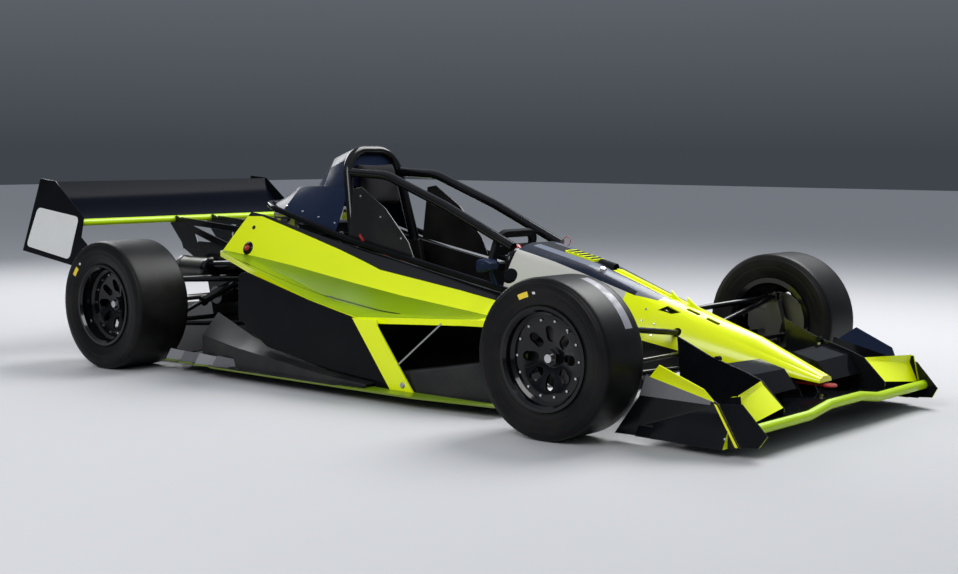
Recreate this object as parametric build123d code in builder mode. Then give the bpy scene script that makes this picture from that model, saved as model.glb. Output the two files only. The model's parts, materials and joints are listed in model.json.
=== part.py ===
from build123d import *
import os

os.makedirs("parts", exist_ok=True)

# An open wheel racing car. Millimetres, +X forward, +Y to the car's left, +Z up, wheels on the ground.
# The origin is on the ground, midway between the front wing's tip and the rear wing's end.

# Main sizes of the car
WHEELBASE = 2465.0
FRONT_OVERHANG = 730.0
REAR_OVERHANG = 889.0
FRONT_TRACK = 1500.0
REAR_TRACK = 1416.0
GROUND_CLEARANCE = 40.0
FLOOR_THICKNESS = 8.0
FLOOR_HALF_WIDTH = 690.0
POD_HALF_WIDTH = 620.0
TUB_WALL = 12.0
SKIN = 4.0
SEAT_GAP = 0.3

FRONT_AXLE_X = (WHEELBASE + REAR_OVERHANG - FRONT_OVERHANG) / 2
REAR_AXLE_X = FRONT_AXLE_X - WHEELBASE
FLOOR_TOP = GROUND_CLEARANCE + FLOOR_THICKNESS
SIDES = ((-1, "right"), (1, "left"))


def front(distance):
    # a station measured forward from the front axle
    return FRONT_AXLE_X + distance


def rear(distance):
    # a station measured forward from the rear axle
    return REAR_AXLE_X + distance


def rod(start, end, radius, mode=Mode.ADD):
    # a round bar between two points
    path = Vector(*end) - Vector(*start)
    with BuildSketch(Plane(origin=start, z_dir=path)) as section:
        Circle(radius)
    extrude(section.sketch, amount=path.length, mode=mode)


def side_plate(y_from, y_to, outline, mode=Mode.ADD):
    # a flat upright plate whose outline is given as x, z points
    plane = Plane(origin=(0, y_from, 0), x_dir=(1, 0, 0), z_dir=(0, -1, 0))
    with BuildSketch(plane) as section:
        Polygon(*outline, align=None)
    extrude(section.sketch, amount=y_from - y_to, mode=mode)


def cross_tube(y_from, y_to, x, z, radius, mode=Mode.ADD):
    # a round boss, cover or bore whose axis runs across the car
    with BuildSketch(Plane(origin=(0, y_from, 0), x_dir=(1, 0, 0), z_dir=(0, -1, 0))) as section:
        with Locations((x, z)):
            Circle(radius)
    extrude(section.sketch, amount=y_from - y_to, mode=mode)


def cross_section(x, outline):
    # a closed outline of y, z points across the car at station x
    with BuildSketch(Plane.YZ.offset(x)) as section:
        Polygon(*outline, align=None)
    return section.sketch


# Chassis tub: a trapezoid trough, lofted through these stations
# columns: x, half width at floor, half width at rail, bottom z, top z
TUB_STATIONS = (
    (rear(720), 225, 240, FLOOR_TOP, 600),
    (front(-645), 200, 235, FLOOR_TOP, 400),
    (front(-65), 118, 128, 150, 330),
    (front(335), 70, 72, 168, 226),
)
TUB_OPEN_ABOVE = 60.0


def tub_loft(grow, top_grow):
    sections = []
    for x, floor_half, rail_half, bottom, top in TUB_STATIONS:
        low, high = bottom - grow, top + top_grow
        sections.append(cross_section(x, ((-floor_half - grow, low), (floor_half + grow, low),
                                          (rail_half + grow, high), (-rail_half - grow, high))))
    loft(sections, ruled=True)


with BuildPart() as tub_outside:
    tub_loft(SEAT_GAP, SEAT_GAP)

with BuildPart() as tub_inside:
    tub_loft(-TUB_WALL, TUB_OPEN_ABOVE)

# Steering numbers that the tub has to leave room for
TIE_ROD_X = front(100)
TIE_ROD_Z = 235.0
TIE_ROD_HOLE = 22.0
BULKHEAD = 16.0

with BuildPart() as tub_room:
    tub_loft(-TUB_WALL - SEAT_GAP, 0)

with BuildPart() as bulkheads:
    tub_loft(0, 0)
    with Locations((rear(720) + BULKHEAD, 0, 0)):
        Box(front(335) - rear(720) - 2 * BULKHEAD, 800, 1400, mode=Mode.SUBTRACT,
            align=(Align.MIN, Align.CENTER, Align.CENTER))

with BuildPart() as chassis_tub:
    tub_loft(0, 0)
    add(tub_inside.part, mode=Mode.SUBTRACT)
    add(bulkheads.part)
    with Locations(Location((TIE_ROD_X, 0, TIE_ROD_Z), (90, 0, 0))):
        Cylinder(TIE_ROD_HOLE, 400, mode=Mode.SUBTRACT)
chassis_tub.part.label = "chassis_tub"

# Front suspension arms: their ball joints out in the wheels and their pickups inside the tub's sides
FRONT_RADIUS = 275.0
KINGPIN_IN = 60.0
KINGPIN_Y = FRONT_TRACK / 2 - KINGPIN_IN
UPPER_BALL = 100.0
LOWER_BALL = -95.0
ARM_TUBE = 11.0
ARM_HOLE = ARM_TUBE + 6.0
PUSH_ROD = 9.0
PICKUP_Y = 90.0
# columns: ball joint height from the axle, pickup x, pickup z
FRONT_ARMS = (
    (UPPER_BALL, front(60), 300),
    (UPPER_BALL, front(-190), 330),
    (LOWER_BALL, front(130), 185),
    (LOWER_BALL, front(-220), 190),
)


def front_arms(arm_radius, push_rod_radius, mode=Mode.ADD):
    for side, _ in SIDES:
        for ball_height, pickup_x, pickup_z in FRONT_ARMS:
            rod((FRONT_AXLE_X, side * KINGPIN_Y, FRONT_RADIUS + ball_height), (pickup_x, side * PICKUP_Y, pickup_z),
                arm_radius, mode)
        rod((front(-5), side * 610, 200), (front(-115), side * PICKUP_Y, 318), push_rod_radius, mode)


# Cowl and nose: skins over the tub's front, lofted through these stations
# columns: x, top z, spine half width, shoulder half width, shoulder z, lower half width, lower z
NOSE_STATIONS = (
    (front(-665), 600, 60, 168, 572, 252, 420),
    (front(-365), 532, 40, 112, 508, 205, 352),
    (front(-60), 424, 24, 92, 396, 168, 268),
    (front(150), 356, 18, 78, 328, 132, 228),
    (front(335), 300, 12, 62, 268, 98, 200),
    (front(595), 186, 8, 30, 180, 44, 164),
)
JOINT_STATION = 3
SIDE_CROWN = 9.0
TOP_CROWN = 5.0


def crowned(start, end, crown):
    # an arc from start to end that stands crown proud of the straight line, on its outer side
    run = Vector(*end) - Vector(*start)
    middle = (Vector(*start) + Vector(*end)) * 0.5
    outward = Vector(run.Y, -run.X).normalized()
    ThreePointArc(start, middle + outward * crown, end)


def nose_section(x, top, spine, shoulder, shoulder_z, lower, lower_z):
    # a flat spine, a crowned top on each side and crowned flanks down to the open underside
    crown = min(SIDE_CROWN, lower / 8)
    with BuildSketch(Plane.YZ.offset(x)) as section:
        with BuildLine():
            crowned((lower, lower_z), (shoulder, shoulder_z), crown)
            crowned((shoulder, shoulder_z), (spine, top), crown * TOP_CROWN / SIDE_CROWN)
            Line((spine, top), (-spine, top))
            crowned((-spine, top), (-shoulder, shoulder_z), crown * TOP_CROWN / SIDE_CROWN)
            crowned((-shoulder, shoulder_z), (-lower, lower_z), crown)
            Line((-lower, lower_z), (lower, lower_z))
        make_face()
    return section.sketch


def nose_loft(stations, shrink, drop):
    loft([nose_section(x, top - shrink, max(spine - shrink, 2), shoulder - shrink, shoulder_z - shrink * 0.5,
                       lower - shrink, lower_z - drop)
          for x, top, spine, shoulder, shoulder_z, lower, lower_z in stations], ruled=True)


def nose_top(x):
    # height of the spine at station x
    for start, end in zip(NOSE_STATIONS, NOSE_STATIONS[1:]):
        if start[0] <= x <= end[0]:
            return start[1] + (end[1] - start[1]) * (x - start[0]) / (end[0] - start[0])
    return NOSE_STATIONS[0][1]


def on_spine(start, end, half, height, sink=2.0):
    # a raised bar along the spine
    side_plate(-half, half, ((start, nose_top(start) - sink), (start, nose_top(start) + height),
                             (end, nose_top(end) + height), (end, nose_top(end) - sink)))


NOSE_CAP = front(560)

with BuildPart() as cowl_inside:
    nose_loft(NOSE_STATIONS[:JOINT_STATION], SKIN, 30)

with BuildPart() as nose_inside:
    nose_loft(NOSE_STATIONS[JOINT_STATION - 1:], SKIN, 30)
    with Locations((NOSE_CAP, 0, 0)):
        Box(200, 400, 1000, mode=Mode.SUBTRACT, align=(Align.MIN, Align.CENTER, Align.CENTER))

# Cowl with its louvred hatch, its scoop and the rib that runs down to the nose
HATCH_REAR = front(-523)
HATCH_FRONT = front(-386)
HATCH_HALF = 36.0
HATCH_HEIGHT = 7.0
LOUVRES = 5
LOUVRE_PITCH = 24.0
LOUVRE_SLOT = 10.0
SCOOP_RADIUS = 21.0
SCOOP_WALL = 4.0
SCOOP_REAR = front(-378)
SCOOP_MOUTH = front(-305)
RIB_HALF = 8.0
RIB_HEIGHT = 5.0

with BuildPart() as front_cowl:
    nose_loft(NOSE_STATIONS[:JOINT_STATION], 0, 0)
    on_spine(HATCH_REAR, HATCH_FRONT, HATCH_HALF, HATCH_HEIGHT)
    on_spine(SCOOP_MOUTH - 10, NOSE_STATIONS[JOINT_STATION - 1][0], RIB_HALF, RIB_HEIGHT)
    rod((SCOOP_REAR, 0, nose_top(SCOOP_REAR) - 8), (SCOOP_MOUTH, 0, nose_top(SCOOP_MOUTH)), SCOOP_RADIUS)
    rod((SCOOP_MOUTH - 30, 0, nose_top(SCOOP_MOUTH - 30)), (SCOOP_MOUTH + 10, 0, nose_top(SCOOP_MOUTH + 10) + 2),
        SCOOP_RADIUS - SCOOP_WALL, Mode.SUBTRACT)
    add(cowl_inside.part, mode=Mode.SUBTRACT)
    with Locations(((HATCH_REAR + HATCH_FRONT) / 2, 0, nose_top(HATCH_REAR))):
        with GridLocations(LOUVRE_PITCH, 0, LOUVRES, 1):
            Box(LOUVRE_SLOT, 2 * HATCH_HALF - 20, 120, mode=Mode.SUBTRACT)
    add(tub_outside.part, mode=Mode.SUBTRACT)
    front_arms(ARM_HOLE, ARM_HOLE, Mode.SUBTRACT)
front_cowl.part.label = "front_cowl"

# Nose cone with two upright fins, oval vents beside its ridge and a side duct at each shoulder
FIN_HALF = 3.0
# columns: tip x, rear foot x, front foot x, tip height over the spine
FINS = ((front(-50), front(-44), front(18), 24), (front(20), front(30), front(112), 26))
OVAL_LENGTH = 58.0
OVAL_WIDTH = 17.0
OVAL_Y = 40.0
OVALS_X = (front(75), front(160))
# the duct's mouth seen from the side, as x, z points
DUCT = ((front(-42), 378), (front(-8), 398), (front(26), 394), (front(58), 376), (front(10), 366))

with BuildPart() as nose_cone:
    nose_loft(NOSE_STATIONS[JOINT_STATION - 1:], 0, 0)
    on_spine(NOSE_STATIONS[JOINT_STATION - 1][0], FINS[0][1] + 10, RIB_HALF, RIB_HEIGHT)
    for tip_x, rear_x, front_x, height in FINS:
        side_plate(-FIN_HALF, FIN_HALF, (
            (tip_x, nose_top(tip_x) + height), (rear_x, nose_top(rear_x) - 2), (front_x, nose_top(front_x) - 2),
            ((tip_x + front_x) / 2, nose_top((tip_x + front_x) / 2) + height * 0.3)))
    add(nose_inside.part, mode=Mode.SUBTRACT)
    for x in OVALS_X:
        with BuildSketch(Plane.XY.offset(nose_top(x) - 60)) as ovals:
            with Locations((x, OVAL_Y), (x, -OVAL_Y)):
                SlotOverall(OVAL_LENGTH, OVAL_WIDTH)
        extrude(ovals.sketch, amount=120, mode=Mode.SUBTRACT)
    for side, _ in SIDES:
        plane = Plane(origin=(0, side * 70, 0), x_dir=(1, 0, 0), z_dir=(0, -1, 0))
        with BuildSketch(plane) as duct:
            Polygon(*DUCT, align=None)
        extrude(duct.sketch, amount=-side * 100, mode=Mode.SUBTRACT)
    add(tub_outside.part, mode=Mode.SUBTRACT)
    front_arms(ARM_HOLE, ARM_HOLE, Mode.SUBTRACT)
    with Locations((TIE_ROD_X, 0, TIE_ROD_Z)):
        Box(2 * TIE_ROD_HOLE, 400, 2 * TIE_ROD_HOLE, mode=Mode.SUBTRACT)
nose_cone.part.label = "nose_cone"

# Tow eye: a flat bar from the tub's front wall to a ring below the nose's tip
TOW_BORE = 12.5
TOW_RING = 25.0
TOW_THICK = 8.0
TOW_TOP = 158.0
TOW_X = front(612)
TUB_FRONT = TUB_STATIONS[-1][0]

with BuildPart() as tow_eye:
    with BuildSketch(Plane.XY.offset(TOW_TOP - TOW_THICK)) as tow_plan:
        with Locations((TOW_X, 0)):
            Circle(TOW_RING)
        with Locations((TUB_FRONT + SEAT_GAP, 0)):
            Rectangle(TOW_X - TUB_FRONT - SEAT_GAP, 30, align=(Align.MIN, Align.CENTER))
        with Locations((TOW_X, 0)):
            Circle(TOW_BORE, mode=Mode.SUBTRACT)
    extrude(tow_plan.sketch, amount=TOW_THICK)
    with Locations((TUB_FRONT + SEAT_GAP, 0, TOW_TOP - TOW_THICK)):
        Box(TOW_THICK, 50, 62, align=(Align.MIN, Align.CENTER, Align.MIN))
tow_eye.part.label = "tow_eye"

# Body sides: a steep band, a crease, a hollow shelf out to the pod's edge and a turned-down lip
PANEL = 6.0
LEG = 8.0
SHELF_EDGE = POD_HALF_WIDTH - LEG - PANEL - 4 * SEAT_GAP
LIP = 24.0
# columns: x, band top y, z, crease y, z, fold y, z, edge y as a distance inside the shelf edge, edge z
BODY_STATIONS = (
    (rear(240), 300, 700, 352, 512, 358, 511, 240, 508),
    (rear(450), 285, 676, 352, 495, 385, 492, 145, 488),
    (rear(700), 272, 616, 350, 466, 425, 440, 42, 456),
    (rear(1080), 256, 532, 350, 413, 480, 355, 4, 362),
    (rear(1350), 252, 486, 348, 378, 500, 322, 0, 312),
    (front(-615), 250, 396, 340, 326, 452, 328, 58, 336),
    (front(-425), 238, 362, 300, 318, 360, 320, 150, 332),
)
# the raked rear edge, from the low rear point up to the band's rear corner
RAKE_LOW = (rear(236), 500)
RAKE_HIGH = (rear(372), 690)


# the raked rear edge as it is cut, seen from the side
RAKE = (
    (RAKE_LOW[0] - 200, RAKE_LOW[1] - 100), (RAKE_LOW[0] - 60, RAKE_LOW[1] - 100), RAKE_LOW, RAKE_HIGH,
    (RAKE_HIGH[0] + 45, RAKE_HIGH[1] + 60), (RAKE_LOW[0] - 200, RAKE_HIGH[1] + 60))

with BuildPart() as body_sides:
    for side, _ in SIDES:
        sections = []
        for x, top_y, top_z, crease_y, crease_z, fold_y, fold_z, edge_in, edge_z in BODY_STATIONS:
            edge_y = SHELF_EDGE - edge_in
            skin = ((top_y, top_z), (crease_y, crease_z), (fold_y, fold_z), (edge_y, edge_z), (edge_y, edge_z - LIP))
            inner = [(y - SKIN, z - SKIN) for y, z in reversed(skin[:-1])]
            inner = [(edge_y - SKIN, edge_z - LIP)] + inner
            sections.append(cross_section(x, [(side * y, z) for y, z in list(skin) + inner]))
        loft(sections, ruled=True)
    with BuildSketch(Plane(origin=(0, 0, 0), x_dir=(1, 0, 0), z_dir=(0, -1, 0))):
        Polygon(*RAKE, align=None)
    extrude(amount=500, both=True, mode=Mode.SUBTRACT)
    add(tub_outside.part, mode=Mode.SUBTRACT)
    add(front_cowl.part, mode=Mode.SUBTRACT)
body_sides.part.label = "body_sides"

# Pod side panels and the slanted legs in front of them
PANEL_OUTSIDE = POD_HALF_WIDTH - LEG - SEAT_GAP
LEG_FOOT_FRONT = rear(1665)
LEG_FOOT_REAR = rear(1545)
STAY = 4.0
KNEE_X = rear(1340)
KNEE_FRONT = rear(1475)
KNEE_Z = 310.0
# columns: x, z of the panel's corner
PANEL_OUTLINE = (
    (rear(650), 256), (rear(655), 440), (rear(700), 455), (rear(1080), 362), (rear(1350), 308),
    (rear(1600), FLOOR_TOP + SEAT_GAP), (rear(1460), FLOOR_TOP + SEAT_GAP), (rear(1460), 70), (rear(1210), 88),
    (rear(830), 150))

with BuildPart() as pod_panels:
    for side, _ in SIDES:
        side_plate(side * (PANEL_OUTSIDE - PANEL), side * PANEL_OUTSIDE, PANEL_OUTLINE)
pod_panels.part.label = "pod_panels"

with BuildPart() as pod_legs:
    for side, _ in SIDES:
        side_plate(side * (POD_HALF_WIDTH - LEG), side * POD_HALF_WIDTH,
                   ((KNEE_X, KNEE_Z), (KNEE_FRONT, KNEE_Z), (KNEE_FRONT, KNEE_Z - LIP),
                    (LEG_FOOT_FRONT, FLOOR_TOP + SEAT_GAP), (LEG_FOOT_REAR, FLOOR_TOP + SEAT_GAP)))
        rod((LEG_FOOT_FRONT - 85, side * (POD_HALF_WIDTH - 4), 143), (rear(1755), side * 555.5, 314), STAY)
    add(body_sides.part, mode=Mode.SUBTRACT)
pod_legs.part.label = "pod_legs"

# Radiators, one leaning in each pod
RADIATOR_THICK = 44.0
with BuildPart() as radiators:
    for side, _ in SIDES:
        with BuildSketch(Plane(origin=(0, side * 300, 0), x_dir=(1, 0, 0), z_dir=(0, -1, 0))):
            Polygon((rear(1010), FLOOR_TOP + SEAT_GAP), (rear(1010 + 60), FLOOR_TOP + SEAT_GAP),
                    (rear(1180 + 60), 300), (rear(1180), 300), align=None)
        extrude(amount=-side * 280)
radiators.part.label = "radiators"

# Floor: one flat plate with a stepped rear and a cut-away front
# columns: x, half width
FLOOR_EDGE = (
    (rear(120), 300), (rear(176), 560), (rear(178), 637), (rear(219), 668), (rear(284), 649), (rear(331), 679),
    (rear(400), 660), (rear(440), 688), (rear(508), 667), (rear(557), 690),
    (rear(1720), 690), (front(-380), 640), (front(-355), 470), (front(-360), 240))

with BuildPart() as floor:
    with BuildSketch(Plane.XY.offset(GROUND_CLEARANCE)):
        Polygon(*([(x, -half - 690 + FLOOR_HALF_WIDTH) for x, half in FLOOR_EDGE]
                  + [(x, half + FLOOR_HALF_WIDTH - 690) for x, half in reversed(FLOOR_EDGE)]), align=None)
    extrude(amount=FLOOR_THICKNESS)
floor.part.label = "floor"

# Tunnel side boxes below the pod panels, with an outer ledge, and the curved boards in front of the legs
TUNNEL_SKIN = 5.0
# columns: x, ledge y, outer foot y, outer top z, inner top y, inner top z
TUNNEL_STATIONS = (
    (rear(460), 655.5, 650, 172, 560, 262),
    (rear(700), 668, 657, 136, 580, 182),
    (rear(830), 682, 660, 122, 590, 150),
    (rear(1210), 684, 662, 78, 592, 84),
    (rear(1450), 672, 655, 62, 592, 66),
)
LEDGE = 9.0
# columns: x, y at the foot, y at the top edge, top z
BOARD_STATIONS = (
    (rear(1575), 604, 598, 117),
    (rear(1787), 598, 592, 153),
    (rear(2055), 552, 548, 202),
)
BOARD_FLANGE = 34.0
# columns: x, y of the vane's rear foot at each step of the floor's edge
VANES = ((rear(560), 684), (rear(444), 683), (rear(334), 675), (rear(222), 663))
VANE_RUN = 125.0
VANE_TURN = 28.0
VANE_HEIGHT = 48.0
VANE_RAKE = 28.0
VANE_THICK = 3.0


def vane(side, x, y):
    # a small upright skin that runs forward and inward from its rear foot, with a raked rear edge
    bottom = FLOOR_TOP + SEAT_GAP
    corners = []
    for along, up in ((0, 0), (VANE_RUN, 0), (VANE_RUN - 12, VANE_HEIGHT - 8), (VANE_RAKE, VANE_HEIGHT)):
        corners.append(Vector(x + along, side * (y - along * VANE_TURN / VANE_RUN), bottom + up))
    extrude(Face(Wire.make_polygon(corners)), amount=VANE_THICK, dir=(0, -side, 0))


with BuildPart() as tunnels:
    bottom = FLOOR_TOP + SEAT_GAP
    for side, _ in SIDES:
        sections = []
        for x, ledge_y, foot_y, top_z, inner_y, inner_z in TUNNEL_STATIONS:
            sections.append(cross_section(x, [(side * y, z) for y, z in (
                (ledge_y, bottom), (ledge_y, bottom + 3), (foot_y, bottom + LEDGE), (foot_y, top_z), (inner_y, inner_z),
                (inner_y - TUNNEL_SKIN, inner_z - TUNNEL_SKIN), (foot_y - TUNNEL_SKIN, top_z - TUNNEL_SKIN),
                (foot_y - TUNNEL_SKIN, bottom))]))
        loft(sections, ruled=True)
        x, _, foot_y, top_z, inner_y, inner_z = TUNNEL_STATIONS[0]
        end_wall = cross_section(x - TUNNEL_SKIN + 1, [(side * y, z) for y, z in (
            (foot_y - 2, bottom), (foot_y - 2, top_z - 2), (inner_y, inner_z - 2), (inner_y - 60, inner_z - 60),
            (inner_y - 60, bottom))])
        extrude(end_wall, amount=TUNNEL_SKIN)
        sections = []
        for x, foot_y, top_y, top_z in BOARD_STATIONS:
            sections.append(cross_section(x, [(side * y, z) for y, z in (
                (foot_y, bottom), (top_y, top_z - 8), (top_y - 6, top_z), (top_y - BOARD_FLANGE, top_z + 4),
                (top_y - BOARD_FLANGE, top_z - 1), (top_y - 10, top_z - 6), (foot_y - TUNNEL_SKIN, bottom))]))
        loft(sections, ruled=True)
        for x, y in VANES:
            vane(side, x, y)
tunnels.part.label = "tunnels"

# Diffuser behind the floor
DIFFUSER_REAR = rear(-430)
with BuildPart() as diffuser:
    with BuildSketch(Plane(origin=(0, 480, 0), x_dir=(1, 0, 0), z_dir=(0, -1, 0))):
        Polygon((rear(120) - SEAT_GAP, GROUND_CLEARANCE), (rear(120) - SEAT_GAP, FLOOR_TOP), (DIFFUSER_REAR, 205),
                (DIFFUSER_REAR, 197), align=None)
    extrude(amount=960)
    for y in (-478, -240, 236, 474):
        with BuildSketch(Plane(origin=(0, y + 4, 0), x_dir=(1, 0, 0), z_dir=(0, -1, 0))):
            Polygon((rear(100), GROUND_CLEARANCE + 4), (DIFFUSER_REAR, 200), (DIFFUSER_REAR, 95),
                    (rear(-200), GROUND_CLEARANCE + 2), align=None)
        extrude(amount=4)
diffuser.part.label = "diffuser"

# Roll hoop, a leaning arch of tube that stands on the tub's floor
HOOP_TUBE = 22.0
HOOP_TOP_Z = 984.0
HOOP_TOP_X = rear(825)
HOOP_LEAN = 0.2244
HOOP_HALF_TOP = 146.0
HOOP_HALF_RAIL = 190.0
HOOP_HALF_FOOT = 172.0
HOOP_RAIL_Z = 574.0
HOOP_BEND = 118.0
FOOT_Z = FLOOR_TOP + TUB_WALL + SEAT_GAP
FOOT_PLATE = 6.0
HOOP_FOOT_Z = FLOOR_TOP + TUB_WALL + FOOT_PLATE + 2.0


def hoop_point(y, z):
    return (HOOP_TOP_X + (HOOP_TOP_Z - z) * HOOP_LEAN, y, z)


with BuildPart() as roll_hoop:
    with BuildLine() as hoop_path:
        crown = HOOP_TOP_Z - HOOP_TUBE
        FilletPolyline(
            hoop_point(-HOOP_HALF_FOOT, HOOP_FOOT_Z), hoop_point(-HOOP_HALF_RAIL, HOOP_RAIL_Z),
            hoop_point(-HOOP_HALF_TOP, crown), hoop_point(HOOP_HALF_TOP, crown),
            hoop_point(HOOP_HALF_RAIL, HOOP_RAIL_Z), hoop_point(HOOP_HALF_FOOT, HOOP_FOOT_Z),
            radius=HOOP_BEND)
    with BuildSketch(Plane(origin=hoop_path.wire() @ 0, z_dir=hoop_path.wire() % 0)):
        Circle(HOOP_TUBE)
    sweep(path=hoop_path.wire())
    with Locations(*[(hoop_point(0, HOOP_FOOT_Z)[0], side * HOOP_HALF_FOOT, FOOT_Z) for side, _ in SIDES]):
        Box(80, 52, FOOT_PLATE + 4, align=(Align.CENTER, Align.CENTER, Align.MIN))
roll_hoop.part.label = "roll_hoop"

# Steering column, from the rack to the wheel in the driver's hands
COLUMN_LOW = (front(60), 0, 262)
COLUMN_HIGH = (front(-810), 0, 560)
COLUMN_RADIUS = 9.0
BORE_CLEARANCE = 0.3


def column_point(x):
    # the column's centre line where it passes station x
    along = (x - COLUMN_LOW[0]) / (COLUMN_HIGH[0] - COLUMN_LOW[0])
    return (x, 0, COLUMN_LOW[2] + along * (COLUMN_HIGH[2] - COLUMN_LOW[2]))


# Side bars from the hoop's shoulders to the small dash hoop under the cowl, which also holds the column
BAR_TUBE = 19.0
BAR_HALF = 155.0
DASH_TUBE = 15.0
DASH_HALF_FOOT = 158.0
# columns: x, z of the bar's bends
BAR_BENDS = ((rear(848), 868), (rear(1080), 858), (rear(1420), 735), (front(-690), 584))

with BuildPart() as side_bars:
    for side, _ in SIDES:
        with BuildLine() as bar_path:
            FilletPolyline(*[(x, side * BAR_HALF, z) for x, z in BAR_BENDS], radius=260)
        with BuildSketch(Plane(origin=bar_path.wire() @ 0, z_dir=bar_path.wire() % 0)):
            Circle(BAR_TUBE)
        sweep(path=bar_path.wire())
    with BuildLine() as dash_path:
        x = front(-690)
        FilletPolyline(
            (x, -DASH_HALF_FOOT, HOOP_FOOT_Z), (x, -190, 420), (x, -176, 566), (x, 176, 566), (x, 190, 420),
            (x, DASH_HALF_FOOT, HOOP_FOOT_Z), radius=40)
    with BuildSketch(Plane(origin=dash_path.wire() @ 0, z_dir=dash_path.wire() % 0)):
        Circle(DASH_TUBE)
    sweep(path=dash_path.wire())
    with Locations(*[(front(-690), side * DASH_HALF_FOOT, FOOT_Z) for side, _ in SIDES]):
        Box(60, 50, FOOT_PLATE + 4, align=(Align.CENTER, Align.CENTER, Align.MIN))
    add(roll_hoop.part, mode=Mode.SUBTRACT)
    add(front_cowl.part, mode=Mode.SUBTRACT)
    rod(column_point(front(-705)), column_point(front(-655)), COLUMN_RADIUS + 9)
    with Locations((front(-682), 0, 560)):
        Box(10, 24, 46, align=(Align.CENTER, Align.CENTER, Align.MAX))
    rod(COLUMN_LOW, COLUMN_HIGH, COLUMN_RADIUS + BORE_CLEARANCE, Mode.SUBTRACT)
side_bars.part.label = "side_bars"

# Black rolled rim around the cockpit and engine opening
RIM_TUBE = 13.0
RIM_HALF = 250.0
with BuildPart() as cockpit_rim:
    with BuildLine() as rim_path:
        FilletPolyline(
            (front(-645), -RIM_HALF, 422), (rear(955), -RIM_HALF, 582), (rear(470), -RIM_HALF, 706),
            (rear(370), -190, 722), (rear(370), 190, 722), (rear(470), RIM_HALF, 706),
            (rear(955), RIM_HALF, 582), (front(-645), RIM_HALF, 422), radius=70)
    with BuildSketch(Plane(origin=rim_path.wire() @ 0, z_dir=rim_path.wire() % 0)):
        Circle(RIM_TUBE)
    sweep(path=rim_path.wire())
    add(tub_outside.part, mode=Mode.SUBTRACT)
    add(front_cowl.part, mode=Mode.SUBTRACT)
    add(body_sides.part, mode=Mode.SUBTRACT)
cockpit_rim.part.label = "cockpit_rim"

# Engine cover: a low hood over the engine, behind the hoop
# columns: x, top z, top half width, side half width, side z
COVER_STATIONS = (
    (rear(383) + SEAT_GAP, 742, 110, 165, 720),
    (rear(520), 800, 130, 236, 694),
    (rear(850), 806, 150, 236, 610),
)

with BuildPart() as engine_cover:
    sections = []
    for x, top, top_half, side_half, side_z in COVER_STATIONS:
        sections.append(cross_section(x, (
            (-side_half, side_z), (-top_half, top), (top_half, top), (side_half, side_z), (side_half - SKIN, side_z),
            (top_half - 2, top - SKIN), (2 - top_half, top - SKIN), (SKIN - side_half, side_z))))
    loft(sections, ruled=True)
    add(roll_hoop.part, mode=Mode.SUBTRACT)
    add(cockpit_rim.part, mode=Mode.SUBTRACT)
engine_cover.part.label = "engine_cover"

# Headrest fairing: a dome on the cover, up to the hoop's leaning face
# columns: x, top z, crown half width, shoulder z, foot half width
DOME_STATIONS = (
    (rear(530), 826, 12, 812, 40),
    (rear(640), 925, 55, 880, 100),
    (rear(800), 972, 105, 927, 140),
    (rear(900), 990, 112, 945, 148),
)
with BuildPart() as headrest_fairing:
    sections = []
    for x, top, crown_half, shoulder_z, foot_half in DOME_STATIONS:
        _, back_top, _, _, _ = COVER_STATIONS[1]
        cover_slope = (COVER_STATIONS[2][1] - back_top) / (COVER_STATIONS[2][0] - COVER_STATIONS[1][0])
        foot_z = back_top + (x - COVER_STATIONS[1][0]) * cover_slope + SEAT_GAP
        sections.append(cross_section(x, (
            (-foot_half, foot_z), (-crown_half - 8, shoulder_z), (-crown_half * 0.6, top),
            (crown_half * 0.6, top), (crown_half + 8, shoulder_z), (foot_half, foot_z))))
    loft(sections, ruled=True)
    with BuildSketch(Plane(origin=(0, 0, 0), x_dir=(1, 0, 0), z_dir=(0, -1, 0))):
        Polygon((hoop_point(0, 700)[0], 700), (hoop_point(0, 1100)[0], 1100), (rear(1100), 1100), (rear(1100), 700),
                align=None)
    extrude(amount=300, both=True, mode=Mode.SUBTRACT)
    add(roll_hoop.part, mode=Mode.SUBTRACT)
headrest_fairing.part.label = "headrest_fairing"

# Carbon panels on each side of the driver's head
HEAD_PANEL = 6.0
with BuildPart() as head_panels:
    for side, _ in SIDES:
        inner_y = RIM_HALF - RIM_TUBE - SEAT_GAP - HEAD_PANEL
        side_plate(side * inner_y, side * (inner_y + HEAD_PANEL),
                   ((rear(930), 572), (rear(960), 800), (rear(1010), 808), (rear(1150), 722), (rear(1280), 588),
                    (rear(1320), 505)))
    add(roll_hoop.part, mode=Mode.SUBTRACT)
    add(tub_outside.part, mode=Mode.SUBTRACT)
    add(cockpit_rim.part, mode=Mode.SUBTRACT)
head_panels.part.label = "head_panels"

# Seat, a bucket with side bolsters, and headrest pad
SEAT_HALF = 142.0
SEAT_POCKET = 116.0
with BuildPart() as seat:
    seat_z = FLOOR_TOP + TUB_WALL + SEAT_GAP
    side_plate(-SEAT_HALF, SEAT_HALF, (
        (rear(1000), seat_z), (rear(905), 560), (rear(1010), 575), (rear(1075), 300), (rear(1215), 215),
        (rear(1450), 222), (rear(1450), seat_z)))
    side_plate(-SEAT_POCKET, SEAT_POCKET, (
        (rear(930), 600), (rear(1015), 215), (rear(1175), 125), (rear(1390), 150), (rear(1460), 150),
        (rear(1460), 420), (rear(1120), 420), (rear(1120), 620)), Mode.SUBTRACT)
seat.part.label = "seat"

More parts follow.
